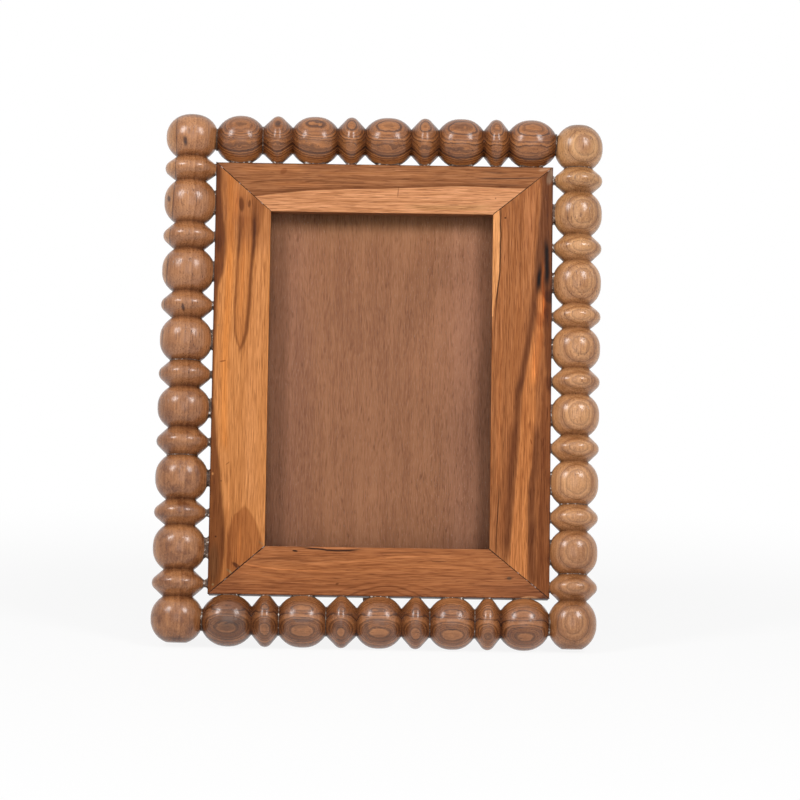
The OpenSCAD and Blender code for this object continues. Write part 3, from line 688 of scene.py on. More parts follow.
BOTTOM_AREAS = (
    (((-60, -83), (-30, -84.2), (-5, -83.4), (20, -82), (52, -84)),
     ((-60, -79.6), (-30, -79.6), (-5, -77.6), (20, -75.8), (52, -78)), 1.6, 0.8, (1.12, 1.14, 1.14)),
    (((-75, -97), (75, -97)), ((-75, -87), (-20, -90.2), (10, -90.6), (40, -88.6), (75, -87)), 1.8, 0.7,
     (0.86, 0.82, 0.8)),
    (((-75, -97), (-58, -97)), ((-75, -80), (-58, -80)), 2.5, 0.6, (0.8, 0.78, 0.8)),
)
BOTTOM_STREAKS = (
    (((-30, -72.7), (-20, -73), (-10, -72.9)), 0.4, 0.8, 0.8, (1.35, 1.4, 1.5)),
    (((-31.5, -72.6), (-28, -73.2), (-24, -73.5), (-20, -73.9), (-16, -74), (-12, -73.8), (-8, -73.4)),
     0.38, 0.7, 1, (0.14, 0.13, 0.16)),
    (((-54, -78.9), (-47, -77.9), (-40, -77.4)), 0.45, 0.9, 0.6, (0.5, 0.42, 0.36)),
    (((-41, -77), (-36, -77.6), (-31, -77.2)), 0.9, 0.9, 0.5, (0.6, 0.5, 0.42)),
    (((-57, -80), (-48, -81.6), (-38, -82.4), (-24, -82.7)), 0.28, 0.9, 0.8, (1.4, 1.42, 1.45)),
    (((-62, -82.5), (-52, -84.8), (-40, -86.2), (-24, -86)), 0.3, 0.9, 0.6, (1.3, 1.3, 1.3)),
    (((-50, -83), (-40, -84.2), (-28, -84.4), (-12, -83.4)), 0.35, 0.9, 0.5, (0.66, 0.56, 0.48)),
    (((-48, -87.2), (-34, -88.8), (-20, -89.4), (-8, -88.6), (2, -86.8)), 0.6, 0.9, 0.6,
     (0.62, 0.52, 0.44)),
    (((-30, -80), (-14, -79), (4, -76.8), (20, -75.8), (36, -76.4)), 0.35, 0.9, 0.55, (1.28, 1.3, 1.32)),
    (((-24, -81.2), (-6, -80.2), (12, -78.2), (26, -77.8)), 0.35, 0.9, 0.5, (0.66, 0.56, 0.48)),
    (((-6, -82.6), (10, -81), (26, -80.4), (42, -81.4)), 0.4, 0.9, 0.5, (1.22, 1.25, 1.28)),
    (((2, -84.6), (18, -83.4), (34, -84.4), (50, -86.6)), 0.4, 0.9, 0.5, (0.68, 0.58, 0.5)),
    (((0, -74.8), (12, -74.3), (24, -73.9)), 0.25, 0.9, 0.7, (0.5, 0.42, 0.38)),
    (((23.5, -77.6), (26, -78.1), (30, -77.6)), 0.32, 0.8, 0.85, (0.4, 0.32, 0.28)),
    (((26, -79), (40, -80), (50, -82)), 0.4, 0.9, 0.5, (0.64, 0.55, 0.5)),
    (((42, -87.8), (54, -88.6), (66, -87.4)), 0.6, 0.9, 0.55, (0.6, 0.52, 0.46)),
    (((-12, -93.4), (-4, -90.4), (5, -88.9), (13, -90.4), (19, -93.4)), 0.35, 0.9, 0.7, (0.6, 0.5, 0.42)),
    (((-7, -93.4), (-1, -91.6), (5, -90.7), (10, -91.8), (14, -93.4)), 0.3, 0.9, 0.6, (0.66, 0.56, 0.48)),
    (((-18, -92.6), (-10, -89.6), (5, -87.2), (16, -88.4), (26, -91.6)), 0.3, 0.9, 0.5, (0.7, 0.6, 0.52)),
    (((14, -90), (30, -88.2), (42, -89.4)), 0.5, 0.9, 0.4, (1.2, 1.22, 1.25)),
)
BOTTOM_SPOTS = (
    ((-35, -74.35), (1.15, 0.38), -6, 1, (0.06, 0.05, 0.06)),
    ((-16.8, -88.2), (0.7, 0.45), 20, 0.8, (0.4, 0.32, 0.28)),
    ((56.6, -84.75), (2.1, 0.28), 8, 0.85, (0.4, 0.3, 0.28)),
    ((56.6, -84.75), (1, 0.72), 0, 0.95, (0.5, 0.7, 1)),
    ((65.5, -92.9), (3.4, 0.5), 0, 0.8, (4, 7, 11)),
    ((71.6, -92.4), (1.2, 0.8), 0, 0.7, (0.4, 0.4, 0.5)),
)


def paint_bottom(graph, shade, x, z, seed):
    """The bottom rail: sagging grain, a crack along its inner edge, a filled brad hole, and a painted
    highlight along its inner edge.
    """
    w = wobbled(graph, x, z, 0.3, 0.12, seed)
    # Painted highlight: the first tint lightens a band along the inner edge, where its arris catches the
    # light.
    shade = graph.tints(
        shade, (graph.smooth(z, -76, -73), (1.12, 1.14, 1.2), 0.6),
        (graph.smooth(x, 50, 68), (0.72, 0.68, 0.66), 0.6))
    shade = draw_areas(graph, shade, x, w, BOTTOM_AREAS)
    shade = draw_streaks(graph, shade, x, w, BOTTOM_STREAKS)
    return draw_spots(graph, shade, x, z, BOTTOM_SPOTS)


def growth_lines(graph, layer, spacing, seed):
    """Thin dark lines where each year's growth ends, every one of its own strength."""
    step = graph.math("DIVIDE", layer, spacing)
    place = graph.math("FRACT", step)
    strength = graph.chance(graph.plus(graph.math("FLOOR", step), seed))
    line = graph.times(graph.smooth(place, 0.35, 0.86), graph.smooth(place, 1.0, 0.93))
    return graph.times(line, graph.line(strength, 0.85, 0.15))


def bead_wood(name, colour, spindle, facing, bands, contrast, sheen, gloss, seed, paint=None):
    """Turned wood. Growth layers cross the bar, so each bead shows rings where it faces them.

    facing is the direction that the layers face, in degrees from the front, how much it turns
    for each millimetre along the spindle, how far the layers drift inwards for each millimetre,
    and how strongly they bow. bands are the marked layers: distance from the axis, half
    thickness and strength. contrast is how dark the thin growth lines are, gloss is how
    strongly the lacquer reflects, and paint adds a spindle's own marks.
    """
    material, graph = new_material(name)
    x, y, z = graph.plane_point()
    rod = SPINDLES[spindle]
    (x0, z0), (x1, z1) = rod.first, rod.last
    upright = rod.towards[1] == 0
    if upright:
        along, slope = z, (x1 - x0) / (z1 - z0)
        side = graph.minus(x, graph.line(z, slope, x0 - slope * z0))
    else:
        along, side = x, graph.minus(z, z0)
    out = graph.times(y, -1)

    turn, turning, drift, bowing = facing
    angle = graph.line(along, math.radians(turning), math.radians(turn))
    cosine, sine = graph.math("COSINE", angle), graph.math("SINE", angle)
    depth = graph.plus(graph.times(out, cosine), graph.times(side, sine))
    cross = graph.minus(graph.times(side, cosine), graph.times(out, sine))
    wander = graph.noise(graph.vector(graph.times(along, 0.03), graph.times(cross, 0.05), seed), detail=2)
    ripple = graph.noise(graph.vector(graph.times(along, 0.4), graph.times(cross, 0.3), seed), detail=3)
    bow = graph.times(graph.times(graph.times(cross, cross), bowing), graph.smooth(depth, 4.0, 9.0))
    layer = graph.minus(graph.line(along, drift, depth), bow)
    layer = graph.plus(layer, graph.line(wander, 2.4, -1.2))
    layer = graph.plus(layer, graph.line(ripple, 0.8, -0.4))

    def along_grain(scale, length, detail, roughness):
        vector = graph.vector(graph.times(side, scale), graph.times(out, scale),
                              graph.line(along, length, seed))
        return graph.noise(vector, detail=detail, roughness=roughness)

    fibre = along_grain(1.5, 0.12, 3, 0.6)
    patch = along_grain(0.09, 0.05, 2, 0.5)
    broad = graph.noise_1d(graph.plus(layer, seed * 7.7), scale=0.22, detail=2, roughness=0.6)
    grit = graph.cloud(1.7, 2, 0.7)
    tone = wood_tone(graph, (fibre, patch, broad, grit), (0.42, 0.45, 0.5, 0.32), 0.6, 1.1)
    shade = wood_colours(graph, tone, colour, (0.6, 0.5, 0.4), (1.3, 1.4, 1.52))
    close_lines = graph.times(growth_lines(graph, layer, 0.47, seed + 9), 0.6)
    lines = graph.math("MAXIMUM", growth_lines(graph, layer, 1.25, seed), close_lines)
    shade = graph.tint(shade, lines, (0.24, 0.17, 0.13), contrast)
    for place, thick, strength in bands:
        off = graph.math("ABSOLUTE", graph.minus(layer, place))
        band = graph.smooth(graph.minus(off, graph.line(fibre, 0.5, -0.25)), thick * 1.5, thick * 0.6)
        shade = graph.tint(shade, band, (0.2, 0.15, 0.13), strength)
    if paint:
        shade = paint(graph, shade, x, y, z, side)
    dashes = pores(graph, along, side, out, seed, 2.1, 0.17, 0.59)
    worn = graph.line(graph.smooth(z, -60, 30), 0.55, 0.45) if upright else 1.0
    shade = graph.tint(shade, graph.times(dashes, worn), (0.3, 0.22, 0.17), 0.8)

    # Grime and painted shade: darker towards the necks, for dirt in the grooves and for the shade between
    # neighbouring beads.
    radius = graph.math("SQRT", graph.plus(graph.times(side, side), graph.times(out, out)))
    grime_and_shade_reach, grime_and_shade_strength = (2.4, 0.65) if upright else (3.6, 0.8)
    grime_and_shade = graph.smooth(graph.plus(radius, graph.line(grit, 1.6, -0.8)),
                         rod.neck + grime_and_shade_reach, rod.neck + 0.3)
    shade = graph.tint(shade, grime_and_shade, (0.38, 0.3, 0.24), grime_and_shade_strength)
    height = graph.minus(graph.plus(graph.times(fibre, 0.5), graph.times(grit, 0.5)),
                         graph.plus(dashes, graph.times(lines, 0.5)))
    graph.finish(shade, graph.line(patch, 0.12, sheen - 0.06), height, 0.035, specular_ior_level=gloss)
    return material


def facing_front(graph, y):
    """1 on the side of a spindle that faces the front."""
    return graph.smooth(y, 0, -4)


BOTTOM_SMEARS = (
    ((-60, -101.6), (5, 0.7), 0.7),
    ((-64, -108), (4, 0.9), 0.6),
    ((-30.5, -104.2), (4.6, 0.8), 0.8),
    ((-33, -107), (3, 0.6), 0.6),
    ((0.4, -103.6), (4.4, 0.9), 0.8),
    ((-4, -107), (0.9, 2.8), 0.7),
    ((3, -105.6), (1.6, 0.6), 0.6),
    ((1, -110.4), (4.6, 0.5), 0.5),
    ((-47, -107), (1.6, 1.2), 0.6),
    ((-16.4, -106.4), (1.6, 1.2), 0.6),
    ((34, -104.4), (4, 0.4), 0.4),
)


def paint_bottom_spindle(graph, shade, x, y, z, side):
    """The bottom spindle is darker towards its left end, with a grey stain on the first bead."""
    shade = graph.tint(shade, graph.smooth(x, -10, -75), (0.8, 0.8, 0.82))
    front = facing_front(graph, y)
    for centre, radii, strength in BOTTOM_SMEARS:
        smear = graph.times(graph.spot(x, z, centre, radii, 0, 0.7), front)
        shade = graph.tint(shade, smear, (0.42, 0.37, 0.35), strength)
    stain = graph.times(graph.spot(x, z, (-62, -105.5), (5.5, 2.6), 0, 0.7), front)
    return graph.tint(shade, stain, (0.42, 0.42, 0.46), 0.85)


def paint_right_spindle(graph, shade, x, y, z, side):
    """The right spindle is browner towards its foot, and its first bead has a brown eye."""
    eye = graph.times(graph.spot(x, z, (86.8, 103.4), (3.2, 4.6), 0, 0.4), facing_front(graph, y))
    return graph.tints(
        shade, (graph.smooth(z, -40, -85), (0.78, 0.72, 0.68)),
        (graph.smooth(z, 30, 90), (0.97, 1.01, 1.0)), (eye, (0.62, 0.52, 0.48), 0.75))


def paint_left_spindle(graph, shade, x, y, z, side):
    """Pale sapwood down the outer side behind a thin dark line, a mottled foot and three dark spots."""
    foot = graph.smooth(z, 30, -50)
    mottle = graph.cloud(0.2, 4, 0.65)
    line = graph.curve(z, ((116, -6.6), (96, -6.4), (60, -8.0), (30, -9.4), (0, -10.4), (-120, -11.6)))
    off = graph.minus(side, line)
    shade = graph.tints(
        shade, (graph.smooth(z, 50, 90), (1.14, 1.18, 1.2)), (foot, (0.92, 0.9, 0.85)),
        (graph.times(graph.smooth(mottle, 0.52, 0.38), foot), (0.68, 0.6, 0.54)),
        (graph.times(graph.smooth(mottle, 0.52, 0.66), foot), (1.16, 1.2, 1.22)),
        (graph.smooth(off, 0.2, -0.2), (1.28, 1.42, 1.46), 0.8),
        (graph.smooth(graph.math("ABSOLUTE", off), 0.4, 0.1), (0.32, 0.26, 0.22), 0.8))
    for centre, radii in (((-85.2, 101.4), (0.9, 2.0)), ((-92.0, 76.6), (0.7, 1.4)),
                          ((-84.6, 29.0), (0.6, 1.6))):
        mark = graph.times(graph.spot(x, z, centre, radii, 12, 0.5), facing_front(graph, y))
        shade = graph.tint(shade, mark, (0.16, 0.1, 0.08), 0.95)
    return shade


def veneer(name, colour):
    """The backing board: fine upright grain, nearly matt, with painted light that brightens its top against
    the top rail's shadow.
    """
    material, graph = new_material(name)
    x, y, z = graph.plane_point()

    def upright_grain(across, start, along, detail, roughness):
        vector = graph.vector(graph.times(x, across), start, graph.times(z, along))
        return graph.noise(vector, detail=detail, roughness=roughness)

    broad = upright_grain(0.05, 0.0, 0.012, 2, 0.5)
    strips = upright_grain(0.35, 0.3, 0.02, 2, 0.6)
    fine = upright_grain(3.4, 0.7, 0.2, 3, 0.7)
    tone = wood_tone(graph, (broad, strips, fine), (0.5, 0.4, 0.9), 0.68, 1.12)
    shade = wood_colours(graph, tone, colour, (0.8, 0.76, 0.76), (1.2, 1.23, 1.26))
    middle = graph.between(graph.line(strips, 16, x), -24, 38, 10)
    dashes = pores(graph, z, x, y, 4.4, 3.6, 0.34, 0.57)
    # Painted light: the first two tints brighten the top of the board, where the top rail casts its shadow.
    shade = graph.tints(
        shade, (graph.smooth(z, 20, 70), (1.13, 1.13, 1.1)), (graph.smooth(z, 54, 70), (1.14, 1.18, 1.16)),
        (middle, (1.03, 1.0, 0.86), 0.8), (dashes, (0.5, 0.46, 0.46), 0.65))
    height = graph.minus(graph.times(fine, 0.5), dashes)
    graph.finish(shade, 0.62, height, 0.03, specular_ior_level=0.2)
    return material


def plain_wood(name, colour, seed):
    """Straight-grained wood for pieces that run up and down."""
    material, graph = new_material(name)
    x, y, z = graph.plane_point()
    layers = streaks(graph, z, x, y, seed)
    shade = wood_colours(graph, wood_tone(graph, layers, (0.6, 0.8, 0.5, 0.3), 0.84, 1.36), colour)
    dashes = pores(graph, z, x, y, seed)
    shade = graph.tint(shade, dashes, (0.5, 0.45, 0.42), 0.5)
    graph.finish(shade, 0.5, graph.minus(layers[3], dashes), 0.04, specular_ior_level=0.3)
    return material


# Other finishes.


def metal(name, colour, roughness):
    """Worn metal with fine drawn lines."""
    material, graph = new_material(name)
    x, y, z = graph.plane_point()
    drawn = graph.vector(graph.times(x, 0.4), graph.times(y, 6.0), graph.times(z, 6.0))
    drawn = graph.noise(drawn, detail=3)
    stains = graph.cloud(0.35, 3)
    shade = graph.tint(colour, graph.smooth(stains, 0.5, 0.75), (0.72, 0.66, 0.58))
    graph.finish(shade, graph.line(drawn, 0.2, roughness - 0.1), drawn, 0.01, metallic=1.0)
    return material


def clear_glass(name):
    """Clean picture glass, seen straight through, with a faint reflection."""
    material, graph = new_material(name)
    clear = graph.add("ShaderNodeBsdfTransparent", {"Color": (0.985, 0.992, 0.988)})
    gloss = graph.add("ShaderNodeBsdfPrincipled", {
        "Base Color": (0.9, 0.95, 0.93), "Roughness": 0.03, "Metallic": 1.0})
    facing = graph.add("ShaderNodeLayerWeight", {"Blend": 0.12})
    share = graph.times(facing.outputs["Fresnel"], 0.22)
    both = graph.add("ShaderNodeMixShader", {0: share, 1: clear.outputs[0], 2: gloss.outputs[0]})
    graph.add("ShaderNodeOutputMaterial", {"Surface": both.outputs[0]})
    return material


def dried_glue(name, colour):
    """Dried glue: brown with dirt, with pale crumbs, and glossy in places."""
    material, graph = new_material(name)
    cloud = graph.cloud(0.75, 3, 0.7)
    shade = graph.ramp(graph.smooth(cloud, 0.34, 0.68), (
        (0.0, srgb(54, 38, 29)), (0.45, srgb(88, 63, 46)), (0.74, srgb(116, 88, 68)), (0.88, colour),
        (1.0, srgb(222, 216, 208))))
    graph.finish(shade, 0.4, cloud, 0.2, specular_ior_level=0.35)
    return material


def dark_filler(name):
    """Dark filler in the mitres, with pale specks."""
    material, graph = new_material(name)
    specks = graph.cloud(0.45, 3, 0.7)
    shade = graph.ramp(graph.smooth(specks, 0.4, 0.72), (
        (0.0, srgb(38, 25, 19)), (0.75, srgb(60, 42, 33)), (1.0, srgb(170, 156, 148))))
    graph.finish(shade, 0.8, specks, 0.03, specular_ior_level=0.1)
    return material


def seen_ray(graph):
    """1 for rays that show the background: straight, in a reflection or through glass."""
    rays = graph.add("ShaderNodeLightPath").outputs
    mirrored = graph.math("MAXIMUM", rays["Is Glossy Ray"], rays["Is Transmission Ray"])
    return graph.math("MAXIMUM", rays["Is Camera Ray"], mirrored)


# Glue and filler, as meshes.

GLUE_SEED, FILLER_SEED = 20, 11

# A bead's crest is where its radius is within CREST_DROP of the full one,
# looked for every CREST_STEP millimetres
CREST_STEP, CREST_DROP = 0.12, 0.4

# A patch of glue: the points round it, how far out it starts, how finely its
# edge is looked for and how far out at most, how high its edge is at least,
# and how far it may run past the ends of the rails
PATCH_POINTS = 40
PATCH_START, PATCH_STEP, PATCH_LIMIT = 0.3, 0.12, 9.0
PATCH_LOW, PATCH_PAST = 0.2, 0.6
# The rings of its side: how high each lies between rail and bead, and how far
# it is drawn in
PATCH_RINGS = ((-0.06, 0.0), (0.22, 0.32), (0.5, 0.45), (0.78, 0.32), (1.08, 0.0))

# A ring of glue round a neck: the points round the neck and round the rope,
# its half widths between beads and at a spindle's ends, the smallest radius
# that it lies on, how far out of the wood it stands and how flat it is
NECK_POINTS, ROPE_POINTS = 48, 8
NECK_RING, END_RING = 0.28, 0.6
ROPE_RADIUS, ROPE_LIFT, ROPE_FLATNESS = 4.2, 0.15, 0.55
# The share of necks that have one, and how deep such a neck is at least
NECK_SHARE, NECK_DEPTH = 0.22, 1.5

# A line of filler: millimetres from point to point, how far it strays to and
# fro, and how far behind the rails' front its edges and its middle lie
FILLER_STEP, FILLER_SHIFT = 0.5, 0.12
FILLER_EDGE, FILLER_MIDDLE = 0.04, -0.03


def spindle_axis(spindle):
    """The direction of a spindle's axis in the frame's plane."""
    (x0, z0), (x1, z1) = spindle.first, spindle.last
    return Vector((x1 - x0, z1 - z0)).normalized()


def bead_profile(node_name):
    """A spindle's radius at each station along it, read from its solid, in millimetres."""
    spindle = SPINDLES[node_name]
    x0, z0 = spindle.first
    axis = spindle_axis(spindle)
    stations = {}
    turn = Matrix.Rotation(LEAN, 3, "X")
    for vertex in NODES[node_name].data.vertices:
        x, y, z = turn @ (vertex.co / MM - SHIFT)
        offset = Vector((x - x0, z - z0))
        along = offset.dot(axis)
        across = offset.x * axis.y - offset.y * axis.x
        key = round(along, 1)
        radius = math.hypot(across, y)
        if radius > stations.get(key, (0, 0))[0]:
            stations[key] = (radius, along)
    return sorted((along, radius) for radius, along in stations.values())


def radius_at(profile, along):
    """The radius at a place along a spindle, and 0 beyond its ends."""
    for (a0, r0), (a1, r1) in zip(profile, profile[1:]):
        if a0 <= along <= a1:
            return r0 + (r1 - r0) * (along - a0) / max(a1 - a0, 1e-6)
    return 0.0


def crests(profile, crest):
    """Where the beads' crests lie: the middles of the stretches at nearly full radius."""
    found, run = [], []
    steps = int((profile[-1][0] - profile[0][0]) / CREST_STEP)
    for i in range(steps + 1):
        along = profile[0][0] + i * CREST_STEP
        if radius_at(profile, along) > crest - CREST_DROP:
            run.append(along)
        elif run:
            found.append((run[0] + run[-1]) / 2)
            run = []
    if run:
        found.append((run[0] + run[-1]) / 2)
    return found


def around(reach, angle):
    """A point so far from a centre, at an angle."""
    return reach * math.cos(angle), reach * math.sin(angle)


def clamped(value, low, high):
    """The value, kept between low and high."""
    return min(max(value, low), high)


def contact_glue(mesh, spindle, profile, centre, gap, wander):
    """One bead's glue: the space between bead and rail, out to where the bead has curved away by gap."""
    axis, towards = spindle_axis(spindle), spindle.towards
    across, lengthwise = (0, 1) if towards[0] else (1, 0)
    spot = Vector(spindle.first) + axis * centre
    face = RAIL_SPANS[across][0 if towards[across] > 0 else 1]
    start, end = RAIL_SPANS[lengthwise]
    stand = abs(face - spot[across])
    gap += max(stand - radius_at(profile, centre), 0)

    def room(along, deep):
        """How far the bead lies off the rail there, or None beside the bead."""
        radius = radius_at(profile, centre + along)
        return None if radius <= abs(deep) else stand - math.sqrt(radius ** 2 - deep ** 2)

    edge = []
    for i in range(PATCH_POINTS):
        angle = 2 * math.pi * i / PATCH_POINTS
        here = gap * wander(angle)
        reach = PATCH_START
        while reach < PATCH_LIMIT:
            height = room(*around(reach, angle))
            if height is None or height > here:
                break
            reach += PATCH_STEP
        height = room(*around(reach, angle))
        edge.append((angle, reach, max(stand if height is None else height, PATCH_LOW)))

    loops = []
    for share, pull in PATCH_RINGS:
        loop = []
        for angle, reach, height in edge:
            along, deep = around(max(reach - pull * height, 0.1), angle)
            place = {across: face - towards[across] * height * share,
                     lengthwise: clamped(spot[lengthwise] + axis[lengthwise] * along,
                                         start - PATCH_PAST, end + PATCH_PAST)}
            deep = clamped(deep, FRONT + 0.05, BACK - 0.3)
            loop.append(mesh.verts.new(to_world(place[0], deep, place[1])))
        loops.append(loop)
    for low, high in zip(loops, loops[1:]):
        bridge(mesh, low, high)
    mesh.faces.new(loops[0][::-1])
    mesh.faces.new(loops[-1])


def bridge(mesh, low, high):
    """Faces between two closed loops of vertices."""
    for i in range(len(low)):
        j = (i + 1) % len(low)
        mesh.faces.new((low[i], low[j], high[j], high[i]))


def neck_glue(mesh, spindle, profile, place, width, chance):
    """A ragged ring of glue round the neck between two beads."""
    x0, z0 = spindle.first
    axis = spindle_axis(spindle)
    loops = []
    radius = max(radius_at(profile, place), ROPE_RADIUS)
    for i in range(NECK_POINTS):
        turn = 2 * math.pi * i / NECK_POINTS
        thick = width * (0.55 + 0.45 * chance.random())
        loop = []
        for j in range(ROPE_POINTS):
            bend = 2 * math.pi * j / ROPE_POINTS
            along = place + math.cos(bend) * thick
            lift = ROPE_LIFT + math.sin(bend) * thick * ROPE_FLATNESS
            across, deep = around(radius + lift, turn)
            x = x0 + axis.x * along + axis.y * across
            z = z0 + axis.y * along - axis.x * across
            loop.append(mesh.verts.new(to_world(x, deep, z)))
        loops.append(loop)
    for low, high in zip(loops, loops[1:] + loops[:1]):
        bridge(mesh, low, high)


def finished_mesh(name, mesh):
    """The mesh data of what was built, with its faces turned outwards."""
    bmesh.ops.recalc_face_normals(mesh, faces=mesh.faces)
    data = bpy.data.meshes.new(name)
    mesh.to_mesh(data)
    mesh.free()
    return data


def mitre_strip(mesh, outer, inner, widths, chance):
    """A thin ragged line of filler along a mitre, its edges a hair sunk and its middle a hair proud."""
    start, end = Vector(outer), Vector(inner)
    along = (end - start).normalized()
    across = Vector((-along.y, along.x))
    length = (end - start).length
    count = max(int(length / FILLER_STEP), 8)
    rows = []
    for i in range(count + 1):
        share = i / count
        middle = start.lerp(end, share)
        place = share * (len(widths) - 1)
        step = min(int(place), len(widths) - 2)
        width = widths[step] + (widths[step + 1] - widths[step]) * (place - step)
        width *= 0.75 + 0.5 * chance.random()
        shift = FILLER_SHIFT * (chance.random() - 0.5)
        row = []
        for offset, sunk in ((-0.5, FILLER_EDGE), (0.0, FILLER_MIDDLE), (0.5, FILLER_EDGE)):
            point = middle + across * (offset * width + shift)
            row.append(mesh.verts.new(to_world(point.x, FRONT + sunk, point.y)))
        rows.append(row)
    for low, high in zip(rows, rows[1:]):
        for j in range(2):
            mesh.faces.new((low[j], low[j + 1], high[j + 1], high[j]))


# Operators.


class FRAME_OT_dress_rails(bpy.types.Operator):
    """Gives the four mitred rails their streaky wood and eased edges"""
    bl_idname = "picture_frame.dress_rails"
    bl_label = "Dress the rails"

    def execute(self, context):
        looks = context.scene.frame_rails
        rails = (("left_rail", looks.left_wood, True, 3.7, paint_left, 0.6),
                 ("right_rail", looks.right_wood, True, 8.2, paint_right, 0.85),
                 ("top_rail", looks.top_wood, False, 5.1, paint_top, 0.8),
                 ("bottom_rail", looks.bottom_wood, False, 1.9, paint_bottom, 0.8))
        for name, colour, upright, seed, paint, grain in rails:
            wood = rail_wood(name + "_wood", colour, upright, seed, paint, looks.sheen, grain)
            dress(name, wood)
            soften(NODES[name], looks.arris)
        return {"FINISHED"}


class FRAME_OT_fill_mitres(bpy.types.Operator):
    """Lays dark filler along the four mitres"""
    bl_idname = "picture_frame.fill_mitres"
    bl_label = "Fill the mitres"

    def execute(self, context):
        chance = random.Random(FILLER_SEED)
        mesh = bmesh.new()
        corners = (((RAIL_LEFT, RAIL_TOP), (-OPENING_X, OPENING_Z), (0.5, 0.35, 0.3, 0.25)),
                   ((RAIL_RIGHT, RAIL_TOP), (OPENING_X, OPENING_Z), (0.2, 0.3, 0.35, 0.3)),
                   ((RAIL_LEFT, RAIL_BOTTOM), (-OPENING_X, -OPENING_Z), (0.3, 0.45, 1.0, 0.6, 0.45, 0.9)),
                   ((RAIL_RIGHT, RAIL_BOTTOM), (OPENING_X, -OPENING_Z), (0.4, 0.4, 0.35, 0.3, 0.6)))
        for outer, inner, widths in corners:
            mitre_strip(mesh, outer, inner, widths, chance)
        filler = finished_mesh("mitre_filler", mesh)
        new_piece("mitre_filler", filler, dark_filler("mitre filler"))
        return {"FINISHED"}


class FRAME_OT_dress_spindles(bpy.types.Operator):
    """Gives the four turned spindles their ringed wood"""
    bl_idname = "picture_frame.dress_spindles"
    bl_label = "Dress the spindles"

    def execute(self, context):
        looks = context.scene.frame_spindles
        top_bands = ((1.2, 0.16, 0.6), (2.5, 0.55, 0.85), (3.9, 0.14, 0.7), (5.2, 0.15, 0.7),
                     (6.1, 0.12, 0.6), (6.9, 0.1, 0.5), (9.7, 0.22, 0.45))
        bottom_bands = ((2.1, 0.12, 0.6), (3.5, 0.13, 0.65), (4.9, 0.13, 0.7), (7.6, 0.13, 0.6),
                        (9.1, 0.16, 0.6), (10.3, 0.25, 0.7))
        right_bands = ((7.9, 0.12, 0.5), (9.6, 0.1, 0.3))
        spindles = (
            ("left_spindle", looks.left_wood, (-78, 0.0, 0.0, 0.0), (),
             0.32, 0.6, 2.2, paint_left_spindle),
            ("right_spindle", looks.right_wood, (9, 0.05, 0.0, 0.0), right_bands,
             0.2, 0.6, 6.4, paint_right_spindle),
            ("top_spindle", looks.top_wood, (34, 0.0, 0.018, 0.05), top_bands,
             0.8, 0.55, 4.9, None),
            ("bottom_spindle", looks.bottom_wood, (-26, -0.09, 0.0, 0.08), bottom_bands,
             0.8, 0.62, 9.3, paint_bottom_spindle))
        for name, colour, facing, bands, contrast, gloss, seed, paint in spindles:
            wood = bead_wood(name + "_wood", colour, name, facing, bands, contrast, looks.sheen, gloss,
                             seed, paint)
            dress(name, wood)
            soften(NODES[name])
        dress("corner_dowels", plain_wood("dowel_wood", srgb(205, 170, 124), 2.0))
        soften(NODES["corner_dowels"])
        return {"FINISHED"}


class FRAME_OT_lay_glue(bpy.types.Operator):
    """Fills the gaps between beads and rails with squeezed-out glue"""
    bl_idname = "picture_frame.lay_glue"
    bl_label = "Lay the glue"

    def execute(self, context):
        looks = context.scene.frame_glue
        material = dried_glue("dried glue", tuple(looks.colour))
        for order, (name, spindle) in enumerate(SPINDLES.items()):
            towards, z0, z1 = spindle.towards, spindle.first[1], spindle.last[1]
            profile = bead_profile(name)
            places = crests(profile, spindle.crest)
            chance = random.Random(GLUE_SEED + order)
            mesh = bmesh.new()
            for centre in places:
                if towards[0] and not RAIL_BOTTOM < z0 + centre * (1 if z1 > z0 else -1) < RAIL_TOP:
                    continue
                phases = [chance.uniform(0, 6.28) for _ in range(3)]
                strength = chance.uniform(0.8, 1.15)

                def wander(angle):
                    ripple = sum(math.sin(angle * k + phase) / k for k, phase in zip((3, 5, 9), phases))
                    return strength * (1 + 0.12 * ripple)

                contact_glue(mesh, spindle, profile, centre, looks.fillet, wander)
            for low, high in zip(places, places[1:]):
                steps = [low + (high - low) * i / 60 for i in range(61)]
                place = min(steps, key=lambda step: radius_at(profile, step))
                deep = radius_at(profile, place) < spindle.crest - NECK_DEPTH
                if chance.random() < NECK_SHARE and deep:
                    neck_glue(mesh, spindle, profile, place, NECK_RING, chance)
            if towards[1]:
                for place in (profile[0][0], profile[-1][0]):
                    neck_glue(mesh, spindle, profile, place, END_RING, chance)
            piece = name.replace("_spindle", "_glue")
            new_piece(piece, finished_mesh(piece, mesh), material)
        return {"FINISHED"}


class FRAME_OT_dress_back(bpy.types.Operator):
    """Finishes the glass, the board, the strut, the hinge and the turn buttons"""
    bl_idname = "picture_frame.dress_back"
    bl_label = "Dress the glass, board and hardware"

    def execute(self, context):
        looks = context.scene.frame_back
        dress("glass_pane", clear_glass("picture_glass"))
        dress("backing_board", veneer("board_veneer", tuple(looks.veneer)))
        dress("strut_leg", plain_wood("strut_wood", tuple(looks.strut_wood), 7.0))
        soften(NODES["backing_board"], 0.2)
        soften(NODES["strut_leg"], 0.3)
        brass = metal("worn_brass", tuple(looks.brass), 0.3)
        steel = metal("bright_steel", tuple(looks.steel), 0.3)
        buttons = [name for name in NODES if name.startswith("turn_button")]
        for name in buttons + ["hinge_fixed_leaf", "hinge_moving_leaf"]:
            dress(name, brass)
            soften(NODES[name], 0.08)
        for name in ("fixed_leaf_screws", "strut_rivets", "button_screws"):
            dress(name, brass)
            soften(NODES[name], 0.2)
        for name in ("hinge_pin", "mitre_brads"):
            dress(name, steel)
            soften(NODES[name])
        return {"FINISHED"}


